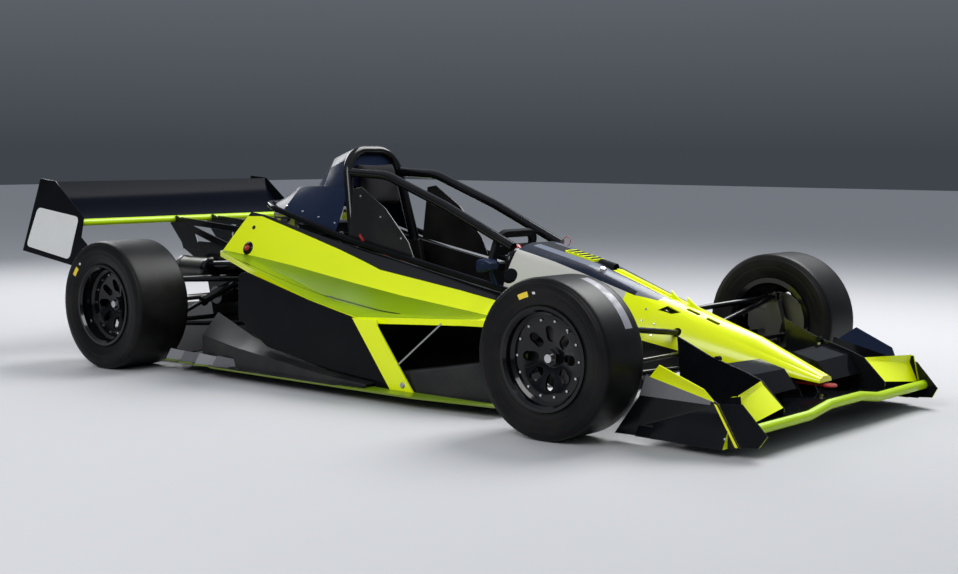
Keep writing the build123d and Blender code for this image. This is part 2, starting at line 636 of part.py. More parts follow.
PAD_LOW = 730.0
PAD_HIGH = 900.0
with BuildPart() as headrest_pad:
    low_x = hoop_point(0, PAD_LOW)[0] + SEAT_GAP
    high_x = hoop_point(0, PAD_HIGH)[0] + SEAT_GAP
    side_plate(-105, 105, ((low_x, PAD_LOW), (high_x, PAD_HIGH), (high_x + 28, PAD_HIGH), (low_x + 45, PAD_LOW)))
headrest_pad.part.label = "headrest_pad"

# Engine: one heavy block of sump, crankcase, gearbox and leaning cylinders, with its round covers,
# throttle bodies and the silver coolant pipe that shows below the engine cover
ENGINE_HALF = 200.0
CYLINDERS = 4
CYLINDER_PITCH = 82.0
THROTTLE_RADIUS = 24.0
PIPE_RADIUS = 18.0
PIPE_Y = -(ENGINE_HALF + 4)
with BuildPart() as engine:
    side_plate(-ENGINE_HALF + 18, ENGINE_HALF - 18, (
        (rear(150), 120), (rear(150), 330), (rear(300), 350), (rear(720) - SEAT_GAP, 300),
        (rear(720) - SEAT_GAP, 90), (rear(600), FLOOR_TOP + SEAT_GAP), (rear(250), FLOOR_TOP + SEAT_GAP)))
    side_plate(-ENGINE_HALF + 8, ENGINE_HALF - 8, (
        (rear(300), 340), (rear(340), 530), (rear(560), 560), (rear(600), 300)))
    side_plate(-ENGINE_HALF, ENGINE_HALF, (
        (rear(330), 540), (rear(322), 566), (rear(350), 612), (rear(470), 640), (rear(575), 632),
        (rear(590), 590), (rear(568), 548)))
    for y_from, y_to, x, z, radius in (
            (-ENGINE_HALF, -150, rear(430), 215, 92), (-ENGINE_HALF, -150, rear(255), 215, 66),
            (150, ENGINE_HALF, rear(450), 235, 84), (150, ENGINE_HALF, rear(270), 225, 52)):
        cross_tube(y_from, y_to, x, z, radius)
    for cylinder in range(CYLINDERS):
        y = (cylinder - (CYLINDERS - 1) / 2) * CYLINDER_PITCH
        rod((rear(350), y, 575), (rear(262), y, 612), THROTTLE_RADIUS)
    for x, z in ((rear(540), 678), (rear(450), 674)):
        side_plate(PIPE_Y - 6, -ENGINE_HALF + 30, ((x, z - 62), (x, z), (x + 24, z - 3), (x + 24, z - 62)))
    with BuildLine() as pipe_path:
        FilletPolyline((rear(440), PIPE_Y, 674), (rear(580), PIPE_Y, 676), (rear(673), PIPE_Y, 657),
                       (rear(850), PIPE_Y, 598), radius=90)
    with BuildSketch(Plane(origin=pipe_path.wire() @ 0, z_dir=pipe_path.wire() % 0)):
        Circle(PIPE_RADIUS)
    sweep(path=pipe_path.wire())
engine.part.label = "engine"

# Final drive: the round housing at the axle and the chain case that runs forward to the engine's output
DIFF_HALF = 110.0
DRIVE_RADIUS = 100.0
OUTPUT_RADIUS = 58.0
CASE_HALF = 30.0
AXLE_Z = 281.0
OUTPUT_X = rear(150) - SEAT_GAP
with BuildPart() as final_drive:
    cross_tube(DIFF_HALF - 12, 12 - DIFF_HALF, REAR_AXLE_X, AXLE_Z, DRIVE_RADIUS - 18)
    cross_tube(CASE_HALF, -CASE_HALF, REAR_AXLE_X, AXLE_Z, DRIVE_RADIUS + 5)
    side_plate(-CASE_HALF, CASE_HALF, (
        (REAR_AXLE_X - 18, AXLE_Z + DRIVE_RADIUS + 3), (OUTPUT_X, AXLE_Z + OUTPUT_RADIUS - 25),
        (OUTPUT_X, AXLE_Z - OUTPUT_RADIUS - 45), (REAR_AXLE_X - 18, AXLE_Z - DRIVE_RADIUS - 3)))
final_drive.part.label = "final_drive"

# Exhaust: a round silencer with banded ends, its tail pipe and the pipe from the engine
CAN_Y = -190.0
CAN_Z = 400.0
# columns: x, radius from the front cap to the tail pipe
CAN_PROFILE = (
    (rear(-25), 0), (rear(-25), 50), (rear(-32), 58), (rear(-52), 58), (rear(-54), 55), (rear(-222), 55),
    (rear(-224), 58), (rear(-242), 58), (rear(-262), 34), (rear(-300), 30), (rear(-300), 25), (rear(-256), 25),
    (rear(-256), 0))
with BuildPart() as exhaust:
    with BuildSketch(Plane(origin=(0, CAN_Y, CAN_Z), x_dir=(1, 0, 0), z_dir=(0, -1, 0))) as can:
        Polygon(*CAN_PROFILE, align=None)
    revolve(can.sketch, axis=Axis((0, CAN_Y, CAN_Z), (1, 0, 0)))
    rod((rear(-60), CAN_Y, CAN_Z + 18), (rear(300) - SEAT_GAP, CAN_Y + 20, 440), 22)
    with Locations((rear(-140), -DIFF_HALF - SEAT_GAP, CAN_Z + 10)):
        Box(30, 50, 30, align=(Align.CENTER, Align.MAX, Align.CENTER))
    add(engine.part, mode=Mode.SUBTRACT)
exhaust.part.label = "exhaust"

# Rear wing: a curved main plane, its rounded lime leading edge, end plates and pylons
REAR_WING_HALF = 652.0
WING_PLATE = 5.0
with BuildPart() as rear_wing:
    with BuildSketch(Plane(origin=(0, REAR_WING_HALF, 0), x_dir=(1, 0, 0), z_dir=(0, -1, 0))):
        with BuildLine():
            ThreePointArc((rear(-412), 640), (rear(-520), 700), (rear(-608), 810))
            Line((rear(-608), 810), (rear(-616), 806))
            ThreePointArc((rear(-616), 806), (rear(-530), 684), (rear(-412), 606))
            Line((rear(-412), 606), (rear(-412), 640))
        make_face()
    extrude(amount=2 * REAR_WING_HALF)
rear_wing.part.label = "rear_wing"

with BuildPart() as rear_wing_nose:
    with BuildSketch(Plane(origin=(0, REAR_WING_HALF, 0), x_dir=(1, 0, 0), z_dir=(0, -1, 0))):
        with BuildLine():
            ThreePointArc((rear(-412), 606), (rear(-396), 622), (rear(-412), 640))
            Line((rear(-412), 640), (rear(-412), 606))
        make_face()
    extrude(amount=2 * REAR_WING_HALF)
rear_wing_nose.part.label = "rear_wing_nose"

REAR_PLATE_OUTLINE = (
    (rear(-724), 823), (rear(-602), 812), (rear(-381), 648), (rear(-406), 555), (rear(-344), 512),
    (rear(-465), 418), (rear(-REAR_OVERHANG), 472))
with BuildPart() as rear_wing_plates:
    for side, _ in SIDES:
        side_plate(side * REAR_WING_HALF, side * (REAR_WING_HALF + WING_PLATE), REAR_PLATE_OUTLINE)
rear_wing_plates.part.label = "rear_wing_plates"

# Side plates that carry the rear suspension and, on two braced pylons, the wing
BRACE = 10.0
PYLON = 6.0
with BuildPart() as rear_plates:
    for side, _ in SIDES:
        side_plate(side * (DIFF_HALF - 12 + SEAT_GAP), side * DIFF_HALF,
                   ((rear(150) - SEAT_GAP, 110), (rear(150) - SEAT_GAP, 320), (rear(40), 520), (rear(-340), 520),
                    (rear(-340), 480), (rear(-180), 400), (rear(-120), 150), (rear(-60), 110)))
        side_plate(side * DIFF_HALF, side * (DIFF_HALF + PYLON),
                   ((rear(-215), 480), (rear(-340), 480), (rear(-352), 510), (rear(-465), 630), (rear(-478), 655),
                    (rear(-412), 632), (rear(-392), 640), (rear(-325), 615), (rear(-250), 560)))
        side_plate(side * (DIFF_HALF + 2), side * (DIFF_HALF + BRACE),
                   ((rear(-352), 634), (rear(-352), 600), (rear(300), 566), (rear(322) - SEAT_GAP, 575),
                    (rear(328) - SEAT_GAP, 584)))
        side_plate(side * (DIFF_HALF + 2), side * (DIFF_HALF + BRACE),
                   ((rear(-300), 605), (rear(-318), 578), (rear(20), 478), (rear(36), 512)))
        side_plate(side * (DIFF_HALF - 2), side * (DIFF_HALF + BRACE - 2),
                   ((rear(-8), 470), (rear(-8), 508), (rear(38), 508), (rear(44), 470)))
    add(rear_wing.part, mode=Mode.SUBTRACT)
    add(rear_wing_nose.part, mode=Mode.SUBTRACT)
    add(engine.part, mode=Mode.SUBTRACT)
rear_plates.part.label = "rear_plates"

# Front wing: main plane and lime leading edge, both raised in the middle
FRONT_WING_HALF = 655.0
FENCE_Y = 370.0
WING_RISE = 20.0
# columns: y at which the height holds, rise
WING_STATIONS = (
    (-FRONT_WING_HALF, 0), (-255, 0), (-115, WING_RISE), (115, WING_RISE), (255, 0), (FRONT_WING_HALF, 0))
WING_LEAD_X = front(660)
LEAD_LOW = 74.0
LEAD_HIGH = 102.0
LEAD_DEPTH = 27.0
# the bend of each end plate: its front part turns inward along a raked line
BEND_TOP = (front(562), 165)
BEND_LOW = (front(643), 34)
BEND_SLOPE = 0.25


def bent_y(x, z):
    # how far inward the turned front part of an end plate lies at x, z
    along = Vector(BEND_LOW[0] - BEND_TOP[0], BEND_LOW[1] - BEND_TOP[1]).normalized()
    return BEND_SLOPE * ((x - BEND_TOP[0]) * -along.Y + (z - BEND_TOP[1]) * along.X)


def bent_front(side, thickness, outline, mode=Mode.ADD):
    # the turned front part, grown outward from its inner face
    corners = [(x, side * (FRONT_WING_HALF - bent_y(x, z)), z) for x, z in outline]
    face = Face(Wire.make_polygon([Vector(*corner) for corner in corners]))
    outward = face.normal_at() if face.normal_at().Y * side > 0 else face.normal_at() * -1
    extrude(face, amount=thickness, dir=outward, mode=mode)


BENT_OUTLINE = (BEND_TOP, (front(641), 171), (front(FRONT_OVERHANG), 78), (front(706), 40), BEND_LOW)
BEND_RUN = (BEND_LOW[0] - BEND_TOP[0]) / (BEND_TOP[1] - BEND_LOW[1])
TRIM_OUTLINE = (
    (BEND_TOP[0] - 210 * BEND_RUN, BEND_TOP[1] + 210), (front(900), BEND_TOP[1] + 210),
    (front(900), BEND_LOW[1] - 130), (BEND_LOW[0] + 130 * BEND_RUN, BEND_LOW[1] - 130))

with BuildPart() as front_wing:
    sections = []
    for y, rise in WING_STATIONS:
        with BuildSketch(Plane(origin=(0, y, rise), x_dir=(1, 0, 0), z_dir=(0, -1, 0))) as section:
            with BuildLine():
                ThreePointArc((WING_LEAD_X, LEAD_HIGH), (front(500), 92), (front(300), 70))
                Line((front(300), 70), (front(300), 65))
                ThreePointArc((front(300), 65), (front(470), 62), (WING_LEAD_X, LEAD_LOW))
                Line((WING_LEAD_X, LEAD_LOW), (WING_LEAD_X, LEAD_HIGH))
            make_face()
        sections.append(section.sketch)
    loft(sections, ruled=True)
    for side, _ in SIDES:
        bent_front(side, 60, TRIM_OUTLINE, Mode.SUBTRACT)
front_wing.part.label = "front_wing"

with BuildPart() as front_wing_nose:
    sections = []
    for y, rise in WING_STATIONS:
        with BuildSketch(Plane(origin=(0, y, rise), x_dir=(1, 0, 0), z_dir=(0, -1, 0))) as section:
            with BuildLine():
                ThreePointArc((WING_LEAD_X, LEAD_LOW), (WING_LEAD_X + LEAD_DEPTH, 84), (WING_LEAD_X, LEAD_HIGH))
                Line((WING_LEAD_X, LEAD_HIGH), (WING_LEAD_X, LEAD_LOW))
            make_face()
        sections.append(section.sketch)
    loft(sections, ruled=True)
    for side, _ in SIDES:
        bent_front(side, 60, TRIM_OUTLINE, Mode.SUBTRACT)
front_wing_nose.part.label = "front_wing_nose"

# Front flaps: on each side a folded main flap with its outer riser, and an inner flap
FLAP_SKIN = 5.0
# columns: y, then x, z of the trailing edge, the fold and the leading edge
MAIN_FLAP = (
    (FENCE_Y + WING_PLATE + SEAT_GAP, front(555), 207, front(564), 195, front(639), 126),
    (FRONT_WING_HALF - 5, front(628), 197, front(622), 166, front(652), 96),
)
INNER_FLAP = (
    (120, front(400), 240, front(500), 214, front(548), 150),
    (FENCE_Y - SEAT_GAP, front(392), 246, front(500), 218, front(548), 150),
)


def folded_flap(side, stations):
    # a thin skin with one fold, between two stations across the car
    sections = []
    for y, back_x, back_z, fold_x, fold_z, lead_x, lead_z in stations:
        with BuildSketch(Plane(origin=(0, side * y, 0), x_dir=(1, 0, 0), z_dir=(0, -1, 0))) as section:
            Polygon((back_x, back_z), (fold_x, fold_z), (lead_x, lead_z), (lead_x - FLAP_SKIN, lead_z - FLAP_SKIN),
                    (fold_x - FLAP_SKIN, fold_z - FLAP_SKIN), (back_x - 4, back_z - 3), align=None)
        sections.append(section.sketch)
    loft(sections, ruled=True)


with BuildPart() as front_flaps:
    for side, _ in SIDES:
        for stations in (MAIN_FLAP, INNER_FLAP):
            folded_flap(side, stations)
        side_plate(side * (FRONT_WING_HALF - 26), side * (FRONT_WING_HALF - SEAT_GAP), (
            (front(590), 150), (front(600), 190), (front(632), 195), (front(652), 100), (front(600), 96)))
        side_plate(side * (FENCE_Y - 12), side * (FENCE_Y - SEAT_GAP), (
            (front(450), 85), (front(470), 224), (front(500), 214), (front(500), 85)))
        side_plate(side * 121, side * 127, ((front(450), 88), (front(470), 222), (front(500), 212), (front(500), 88)))
        rod((front(378), side * (FENCE_Y - 12), 262), (front(392), side * (FENCE_Y - 12), 168), 5)
        rod((front(380), side * (FENCE_Y - 12), 250), (front(386), side * (FENCE_Y - 12), 208), 9)
        rod((front(378), side * (FENCE_Y - 20), 262), (front(378), side * (FENCE_Y - SEAT_GAP), 262), 10)
        rod((front(392), side * (FENCE_Y - 20), 168), (front(392), side * (FENCE_Y - SEAT_GAP), 168), 9)
    add(front_wing.part, mode=Mode.SUBTRACT)
    add(front_wing_nose.part, mode=Mode.SUBTRACT)
    for side, _ in SIDES:
        bent_front(side, 60, TRIM_OUTLINE, Mode.SUBTRACT)
front_flaps.part.label = "front_flaps"

# End plates with a turned front part, a stepped foot and a winglet that leans outward, and the fences inboard
# columns: x from, x to, height of the foot's top, how far it flares
FOOT_STEPS = ((front(262), front(330), 62, 22), (front(322), front(440), 74, 26), (front(432), front(602), 86, 30))
WINGLET_LEAN = 0.587
WINGLET_THICK = 4.0
WINGLET_FOOT = 231.0
# columns: x, z of the winglet's corner
WINGLET_OUTLINE = ((front(302), 227.5), (front(363), 277), (front(523), 212), (front(552), 170))


def winglet(side):
    # a flat skin on the end plate's top edge; each corner lies further out the higher it is over that edge
    corners = []
    for x, z in WINGLET_OUTLINE:
        above = z - (WINGLET_FOOT - 0.23 * (x - front(287)))
        corners.append(Vector(x, side * (FRONT_WING_HALF + 0.5 + WINGLET_LEAN * above), z))
    face = Face(Wire.make_polygon(corners))
    outward = face.normal_at() if face.normal_at().Y * side > 0 else face.normal_at() * -1
    extrude(face, amount=WINGLET_THICK, dir=outward)


with BuildPart() as front_wing_plates:
    for side, _ in SIDES:
        side_plate(side * FRONT_WING_HALF, side * (FRONT_WING_HALF + WING_PLATE),
                   ((front(287), 235), (front(548), 175), (front(566), 166),
                    (front(647), 34), (front(643), 30), (front(165), 24), (front(262), 158)))
        bent_front(side, WING_PLATE, BENT_OUTLINE)
        winglet(side)
        for x_from, x_to, top, flare in FOOT_STEPS:
            with BuildSketch(Plane.YZ.offset(x_from)) as foot:
                wall = FRONT_WING_HALF + WING_PLATE - 1
                Polygon(*[(side * y, z) for y, z in ((wall, 27), (wall + flare, 27), (wall + flare, 31), (wall, top))],
                        align=None)
            extrude(foot.sketch, amount=x_to - x_from)
        side_plate(side * FENCE_Y, side * (FENCE_Y + WING_PLATE),
                   ((front(222), 330), (front(360), 270), (front(497), 230), (front(556), 208), (front(642), 124),
                    (front(640), 80), (front(300), 66), (front(240), 150)))
    add(front_wing.part, mode=Mode.SUBTRACT)
front_wing_plates.part.label = "front_wing_plates"

# Wing hangers from the tub's front to the main plane
with BuildPart() as front_wing_hangers:
    for side, _ in SIDES:
        side_plate(side * 55, side * 61, (
            (front(340), 93), (front(350), 175), (front(362), 190), (front(480), 190), (front(520), 150),
            (front(545), 97)))
        side_plate(side * 50, side * 66, ((front(350), 91), (front(352), 104), (front(540), 116), (front(545), 95)))
    add(nose_cone.part, mode=Mode.SUBTRACT)
    add(tub_outside.part, mode=Mode.SUBTRACT)
    add(front_wing.part, mode=Mode.SUBTRACT)
front_wing_hangers.part.label = "front_wing_hangers"

# Wheels: sizes of the tyre, the rim and what carries it
# columns: axle x, tyre radius, tyre width, half the track, rim half width
FRONT_WHEEL = (FRONT_AXLE_X, FRONT_RADIUS, 217.0, FRONT_TRACK / 2, 102.0)
REAR_WHEEL = (REAR_AXLE_X, AXLE_Z, 269.0, REAR_TRACK / 2, 127.0)
RIM_SEAT = 165.0
FLANGE = 178.0
BARREL = 7.0
BEAD_FIT = 0.2
FLANGE_WIDE = 6.0
LIP_STEP = 9.0
WEB_IN = 28.0
WEB_OUT = 40.0
BOLT_RING_FACE = 62.0
BOLT_RING_IN = 114.0
BOLT_RING_OUT = 146.0
WEB_THICK = 10.0
HUB_RADIUS = 32.0
SPINDLE_RADIUS = 14.0
UPRIGHT_HALF = 16.0
DISC_RADIUS = 115.0
DISC_IN = -20.0
DISC_OUT = -10.0
SPOKES = 8
WINDOW_LENGTH = 56.0
WINDOW_WIDTH = 34.0
WINDOW_RADIUS = 82.0
NUT_ACROSS = 30.0
NUT_HEIGHT = 16.0


def ring_profile(wheel, side, outline):
    # outline points are distances outward from the wheel's middle plane, and radii
    axle_x, radius, _, half_track, _ = wheel
    with BuildSketch(Plane.YZ.offset(axle_x)) as section:
        Polygon(*[(side * (half_track + a), radius + r) for a, r in outline], align=None)
    revolve(section.sketch, axis=Axis((axle_x, 0, radius), (0, 1, 0)))


def tyre(wheel, side):
    # a slick with a flat tread, a tight square shoulder, a ridge below it and a bulged sidewall
    axle_x, radius, width, half_track, rim_half = wheel
    half = width / 2
    bead = RIM_SEAT + BEAD_FIT
    outside = ((half - 16, radius), (half - 5, radius - 5), (half - 2, radius - 13), (half, radius - 34),
               (half - 3, radius - 66), (rim_half - FLANGE_WIDE - BEAD_FIT, FLANGE + 8),
               (rim_half - FLANGE_WIDE - BEAD_FIT, bead))
    inside = ((rim_half - 24, bead), (rim_half - 18, FLANGE + 12), (half - 12, radius - 44), (half - 26, radius - 12))
    half_profile = list(outside) + list(inside)
    ring_profile(wheel, side, half_profile + [(-a, r) for a, r in reversed(half_profile)])


def rim(wheel, side):
    # a deep stepped barrel with a dished, windowed centre bolted behind its lip
    axle_x, radius, width, half_track, rim_half = wheel
    inner = RIM_SEAT - BARREL
    ring_profile(wheel, side, (
        (-rim_half, inner), (-rim_half, FLANGE), (FLANGE_WIDE - rim_half, FLANGE), (FLANGE_WIDE - rim_half, RIM_SEAT),
        (rim_half - FLANGE_WIDE, RIM_SEAT), (rim_half - FLANGE_WIDE, FLANGE), (rim_half, FLANGE),
        (rim_half, inner + LIP_STEP), (rim_half - LIP_STEP, inner), (BOLT_RING_FACE + 8, inner),
        (BOLT_RING_FACE, BOLT_RING_OUT), (BOLT_RING_FACE, BOLT_RING_IN), (WEB_OUT, HUB_RADIUS + 8),
        (WEB_OUT, SPINDLE_RADIUS + 6), (WEB_IN + SEAT_GAP, SPINDLE_RADIUS + 6), (WEB_IN + SEAT_GAP, HUB_RADIUS + 10),
        (BOLT_RING_FACE - WEB_THICK, BOLT_RING_IN + 4), (BOLT_RING_FACE - WEB_THICK, inner)))
    with BuildSketch(Plane(origin=(axle_x, side * (half_track + WEB_IN), radius), z_dir=(0, side, 0))) as windows:
        with PolarLocations(WINDOW_RADIUS, SPOKES):
            SlotOverall(WINDOW_LENGTH, WINDOW_WIDTH)
    extrude(windows.sketch, amount=BOLT_RING_FACE - WEB_IN, mode=Mode.SUBTRACT)
    with BuildSketch(Plane(origin=(axle_x, side * (half_track + WEB_OUT - 1), radius), z_dir=(0, side, 0))) as nut:
        RegularPolygon(NUT_ACROSS, 6)
    extrude(nut.sketch, amount=NUT_HEIGHT)


def disc(wheel, side, bore):
    ring_profile(wheel, side, (
        (DISC_IN, DISC_RADIUS), (DISC_OUT, DISC_RADIUS), (DISC_OUT, HUB_RADIUS), (WEB_IN, HUB_RADIUS),
        (WEB_IN, bore), (-UPRIGHT_HALF - KINGPIN_IN + 37 + 5, bore), (-UPRIGHT_HALF - KINGPIN_IN + 37 + 5, HUB_RADIUS),
        (DISC_IN, HUB_RADIUS)))


for wheel, end in ((FRONT_WHEEL, "front"), (REAR_WHEEL, "rear")):
    for side, name in SIDES:
        with BuildPart() as tyre_part:
            tyre(wheel, side)
        tyre_part.part.label = f"tyre_{end}_{name}"
        export_step(tyre_part.part, f"parts/tyre_{end}_{name}.step")
        with BuildPart() as rim_part:
            rim(wheel, side)
        rim_part.part.label = f"wheel_{end}_{name}"
        export_step(rim_part.part, f"parts/wheel_{end}_{name}.step")

# Front hubs and discs, which turn on the knuckles' spindles
for side, name in SIDES:
    with BuildPart() as front_disc:
        disc(FRONT_WHEEL, side, SPINDLE_RADIUS + BORE_CLEARANCE)
    front_disc.part.label = f"brake_disc_{name}"
    export_step(front_disc.part, f"parts/brake_disc_{name}.step")

# Rear hubs with their discs and half shafts, which turn in the rear uprights
SHAFT_END = 175.0
for side, name in SIDES:
    with BuildPart() as half_shaft:
        disc(REAR_WHEEL, side, SPINDLE_RADIUS - 4)
        axle_x, radius, _, half_track, _ = REAR_WHEEL
        rod((axle_x, side * SHAFT_END, radius), (axle_x, side * (half_track + WEB_IN), radius), SPINDLE_RADIUS)
        rod((axle_x, side * (DIFF_HALF + 5), radius), (axle_x, side * (SHAFT_END + 20), radius), 42)
    half_shaft.part.label = f"half_shaft_{name}"
    export_step(half_shaft.part, f"parts/half_shaft_{name}.step")

# Knuckles: upright, ball joint pins, caliper, and in front the spindle and steering arm
REAR_RADIUS = REAR_WHEEL[1]
BALL = 14.0
BALL_PIN = 7.0
PAD_GAP = 5.0
# the caliper seen from the side, as x, z distances from the axle
CALIPER = ((-40, -36), (-40, 36), (-122, 50), (-122, -50))
CALIPER_BRIDGE = ((-120, -40), (-120, 40), (-131, 30), (-131, -30))


def upright(axle_x, half_track, side, centre_z):
    # the cast upright with the pins of its two ball joints and its brake caliper
    y = half_track - KINGPIN_IN
    side_plate(side * (y - UPRIGHT_HALF), side * (y + UPRIGHT_HALF), (
        (axle_x - 22, centre_z + UPPER_BALL - 18), (axle_x + 22, centre_z + UPPER_BALL - 18),
        (axle_x + 45, centre_z), (axle_x + 22, centre_z + LOWER_BALL + 18), (axle_x - 22, centre_z + LOWER_BALL + 18),
        (axle_x - 45, centre_z)))
    rod((axle_x, side * y, centre_z + UPPER_BALL - 22), (axle_x, side * y, centre_z + UPPER_BALL + BALL + 4), BALL_PIN)
    rod((axle_x, side * y, centre_z + LOWER_BALL + 22), (axle_x, side * y, centre_z + LOWER_BALL - BALL - 4), BALL_PIN)
    caliper = [(axle_x + x, centre_z + z) for x, z in CALIPER]
    bridge = [(axle_x + x, centre_z + z) for x, z in CALIPER_BRIDGE]
    side_plate(side * (y + UPRIGHT_HALF - 2), side * (half_track + DISC_IN - PAD_GAP), caliper)
    side_plate(side * (half_track + DISC_OUT + PAD_GAP), side * (half_track + DISC_OUT + 18), caliper)
    side_plate(side * (y + UPRIGHT_HALF - 2), side * (half_track + DISC_OUT + 18), bridge)
    # room for the hub that turns in the caliper
    rod((axle_x, side * (half_track + DISC_OUT + PAD_GAP - 1), centre_z),
        (axle_x, side * (half_track + WEB_IN), centre_z), HUB_RADIUS + PAD_GAP, Mode.SUBTRACT)
    rod((axle_x, side * (y + UPRIGHT_HALF), centre_z), (axle_x, side * (half_track + WEB_IN), centre_z),
        HUB_RADIUS + PAD_GAP, Mode.SUBTRACT)


def sockets(axle_x, half_track, side, centre_z):
    # the arms' eyes around the ball joint pins
    y = half_track - KINGPIN_IN
    for ball_height in (UPPER_BALL, LOWER_BALL):
        ball_z = centre_z + ball_height
        rod((axle_x, side * y, ball_z - BALL), (axle_x, side * y, ball_z + BALL), 20)
        rod((axle_x, side * y, ball_z - 40), (axle_x, side * y, ball_z + 40), BALL_PIN + SEAT_GAP, Mode.SUBTRACT)


for side, name in SIDES:
    with BuildPart() as knuckle:
        upright(FRONT_AXLE_X, FRONT_TRACK / 2, side, FRONT_RADIUS)
        rod((FRONT_AXLE_X, side * (KINGPIN_Y + UPRIGHT_HALF - 2), FRONT_RADIUS),
            (FRONT_AXLE_X, side * (FRONT_TRACK / 2 + WEB_IN), FRONT_RADIUS), SPINDLE_RADIUS)
        side_plate(side * (KINGPIN_Y - 12), side * (KINGPIN_Y + 12), (
            (FRONT_AXLE_X, TIE_ROD_Z - 20), (FRONT_AXLE_X, TIE_ROD_Z - 6), (TIE_ROD_X + 14, TIE_ROD_Z - 10),
            (TIE_ROD_X + 14, TIE_ROD_Z - 20)))
    knuckle.part.label = f"knuckle_{name}"
    export_step(knuckle.part, f"parts/knuckle_{name}.step")

# Front wishbones and push rods, ending on the tub
with BuildPart() as front_suspension:
    front_arms(ARM_TUBE, PUSH_ROD)
    for side, _ in SIDES:
        sockets(FRONT_AXLE_X, FRONT_TRACK / 2, side, FRONT_RADIUS)
    add(tub_outside.part, mode=Mode.SUBTRACT)
front_suspension.part.label = "front_suspension"

# Rear uprights and wishbones
REAR_UPRIGHT_Y = REAR_TRACK / 2 - KINGPIN_IN
DAMPER_RADIUS = 19.0
with BuildPart() as rear_uprights:
    for side, _ in SIDES:
        upright(REAR_AXLE_X, REAR_TRACK / 2, side, REAR_RADIUS)
        with Locations(Location((REAR_AXLE_X, side * REAR_UPRIGHT_Y, REAR_RADIUS), (90, 0, 0))):
            Cylinder(SPINDLE_RADIUS + BORE_CLEARANCE, 100, mode=Mode.SUBTRACT)
rear_uprights.part.label = "rear_uprights"

with BuildPart() as rear_suspension:
    for side, _ in SIDES:
        for ball_z, legs in (
                (REAR_RADIUS + UPPER_BALL, ((rear(310), 190, 375), (rear(30), DIFF_HALF, 368))),
                (REAR_RADIUS + LOWER_BALL, ((rear(300), 190, 172), (rear(-70), DIFF_HALF, 172)))):
            for pickup_x, pickup_y, pickup_z in legs:
                rod((REAR_AXLE_X, side * REAR_UPRIGHT_Y, ball_z), (pickup_x, side * pickup_y, pickup_z), ARM_TUBE)
        sockets(REAR_AXLE_X, REAR_TRACK / 2, side, REAR_RADIUS)
        low, high = (rear(75), side * 530, 190), (rear(75), side * DIFF_HALF, 356)
        run = Vector(*high) - Vector(*low)
        rod(low, high, PUSH_ROD)
        rod(tuple(Vector(*low) + run * 0.46), tuple(Vector(*low) + run * 0.92), DAMPER_RADIUS)
        for share in (0.46, 0.88):
            rod(tuple(Vector(*low) + run * share), tuple(Vector(*low) + run * (share + 0.03)), DAMPER_RADIUS + 5)
    add(engine.part, mode=Mode.SUBTRACT)
    add(rear_plates.part, mode=Mode.SUBTRACT)
rear_suspension.part.label = "rear_suspension"

# Steering: rack with its tie rods, rack housing, column with the steering wheel
RACK_HALF = 60.0
RACK_BAR = 8.0
with BuildPart() as steering_rack:
    rod((TIE_ROD_X, -(KINGPIN_Y + 10), TIE_ROD_Z), (TIE_ROD_X, KINGPIN_Y + 10, TIE_ROD_Z), RACK_BAR)
steering_rack.part.label = "steering_rack"

with BuildPart() as rack_housing:
    rod((TIE_ROD_X, -RACK_HALF, TIE_ROD_Z), (TIE_ROD_X, RACK_HALF, TIE_ROD_Z), 18)
    rod(column_point(TIE_ROD_X), column_point(TIE_ROD_X - 60), COLUMN_RADIUS + 6)
    for y in (-RACK_HALF + 15, RACK_HALF - 15):
        with Locations((TIE_ROD_X, y, TIE_ROD_Z)):
            Box(24, 16, 100, align=(Align.CENTER, Align.CENTER, Align.MAX))
    rod((TIE_ROD_X, -RACK_HALF, TIE_ROD_Z), (TIE_ROD_X, RACK_HALF, TIE_ROD_Z), RACK_BAR + SEAT_GAP, Mode.SUBTRACT)
    rod(COLUMN_LOW, COLUMN_HIGH, COLUMN_RADIUS + BORE_CLEARANCE, Mode.SUBTRACT)
    add(tub_room.part, mode=Mode.INTERSECT)
rack_housing.part.label = "rack_housing"

with BuildPart() as steering_wheel:
    rod(COLUMN_LOW, COLUMN_HIGH, COLUMN_RADIUS)
    column = Vector(*COLUMN_HIGH) - Vector(*COLUMN_LOW)
    with BuildSketch(Plane(origin=COLUMN_HIGH, x_dir=(0, 1, 0), z_dir=column)):
        RectangleRounded(260, 170, 60)
        RectangleRounded(204, 114, 40, mode=Mode.SUBTRACT)
        Rectangle(230, 40)
    extrude(amount=22)
steering_wheel.part.label = "steering_wheel"

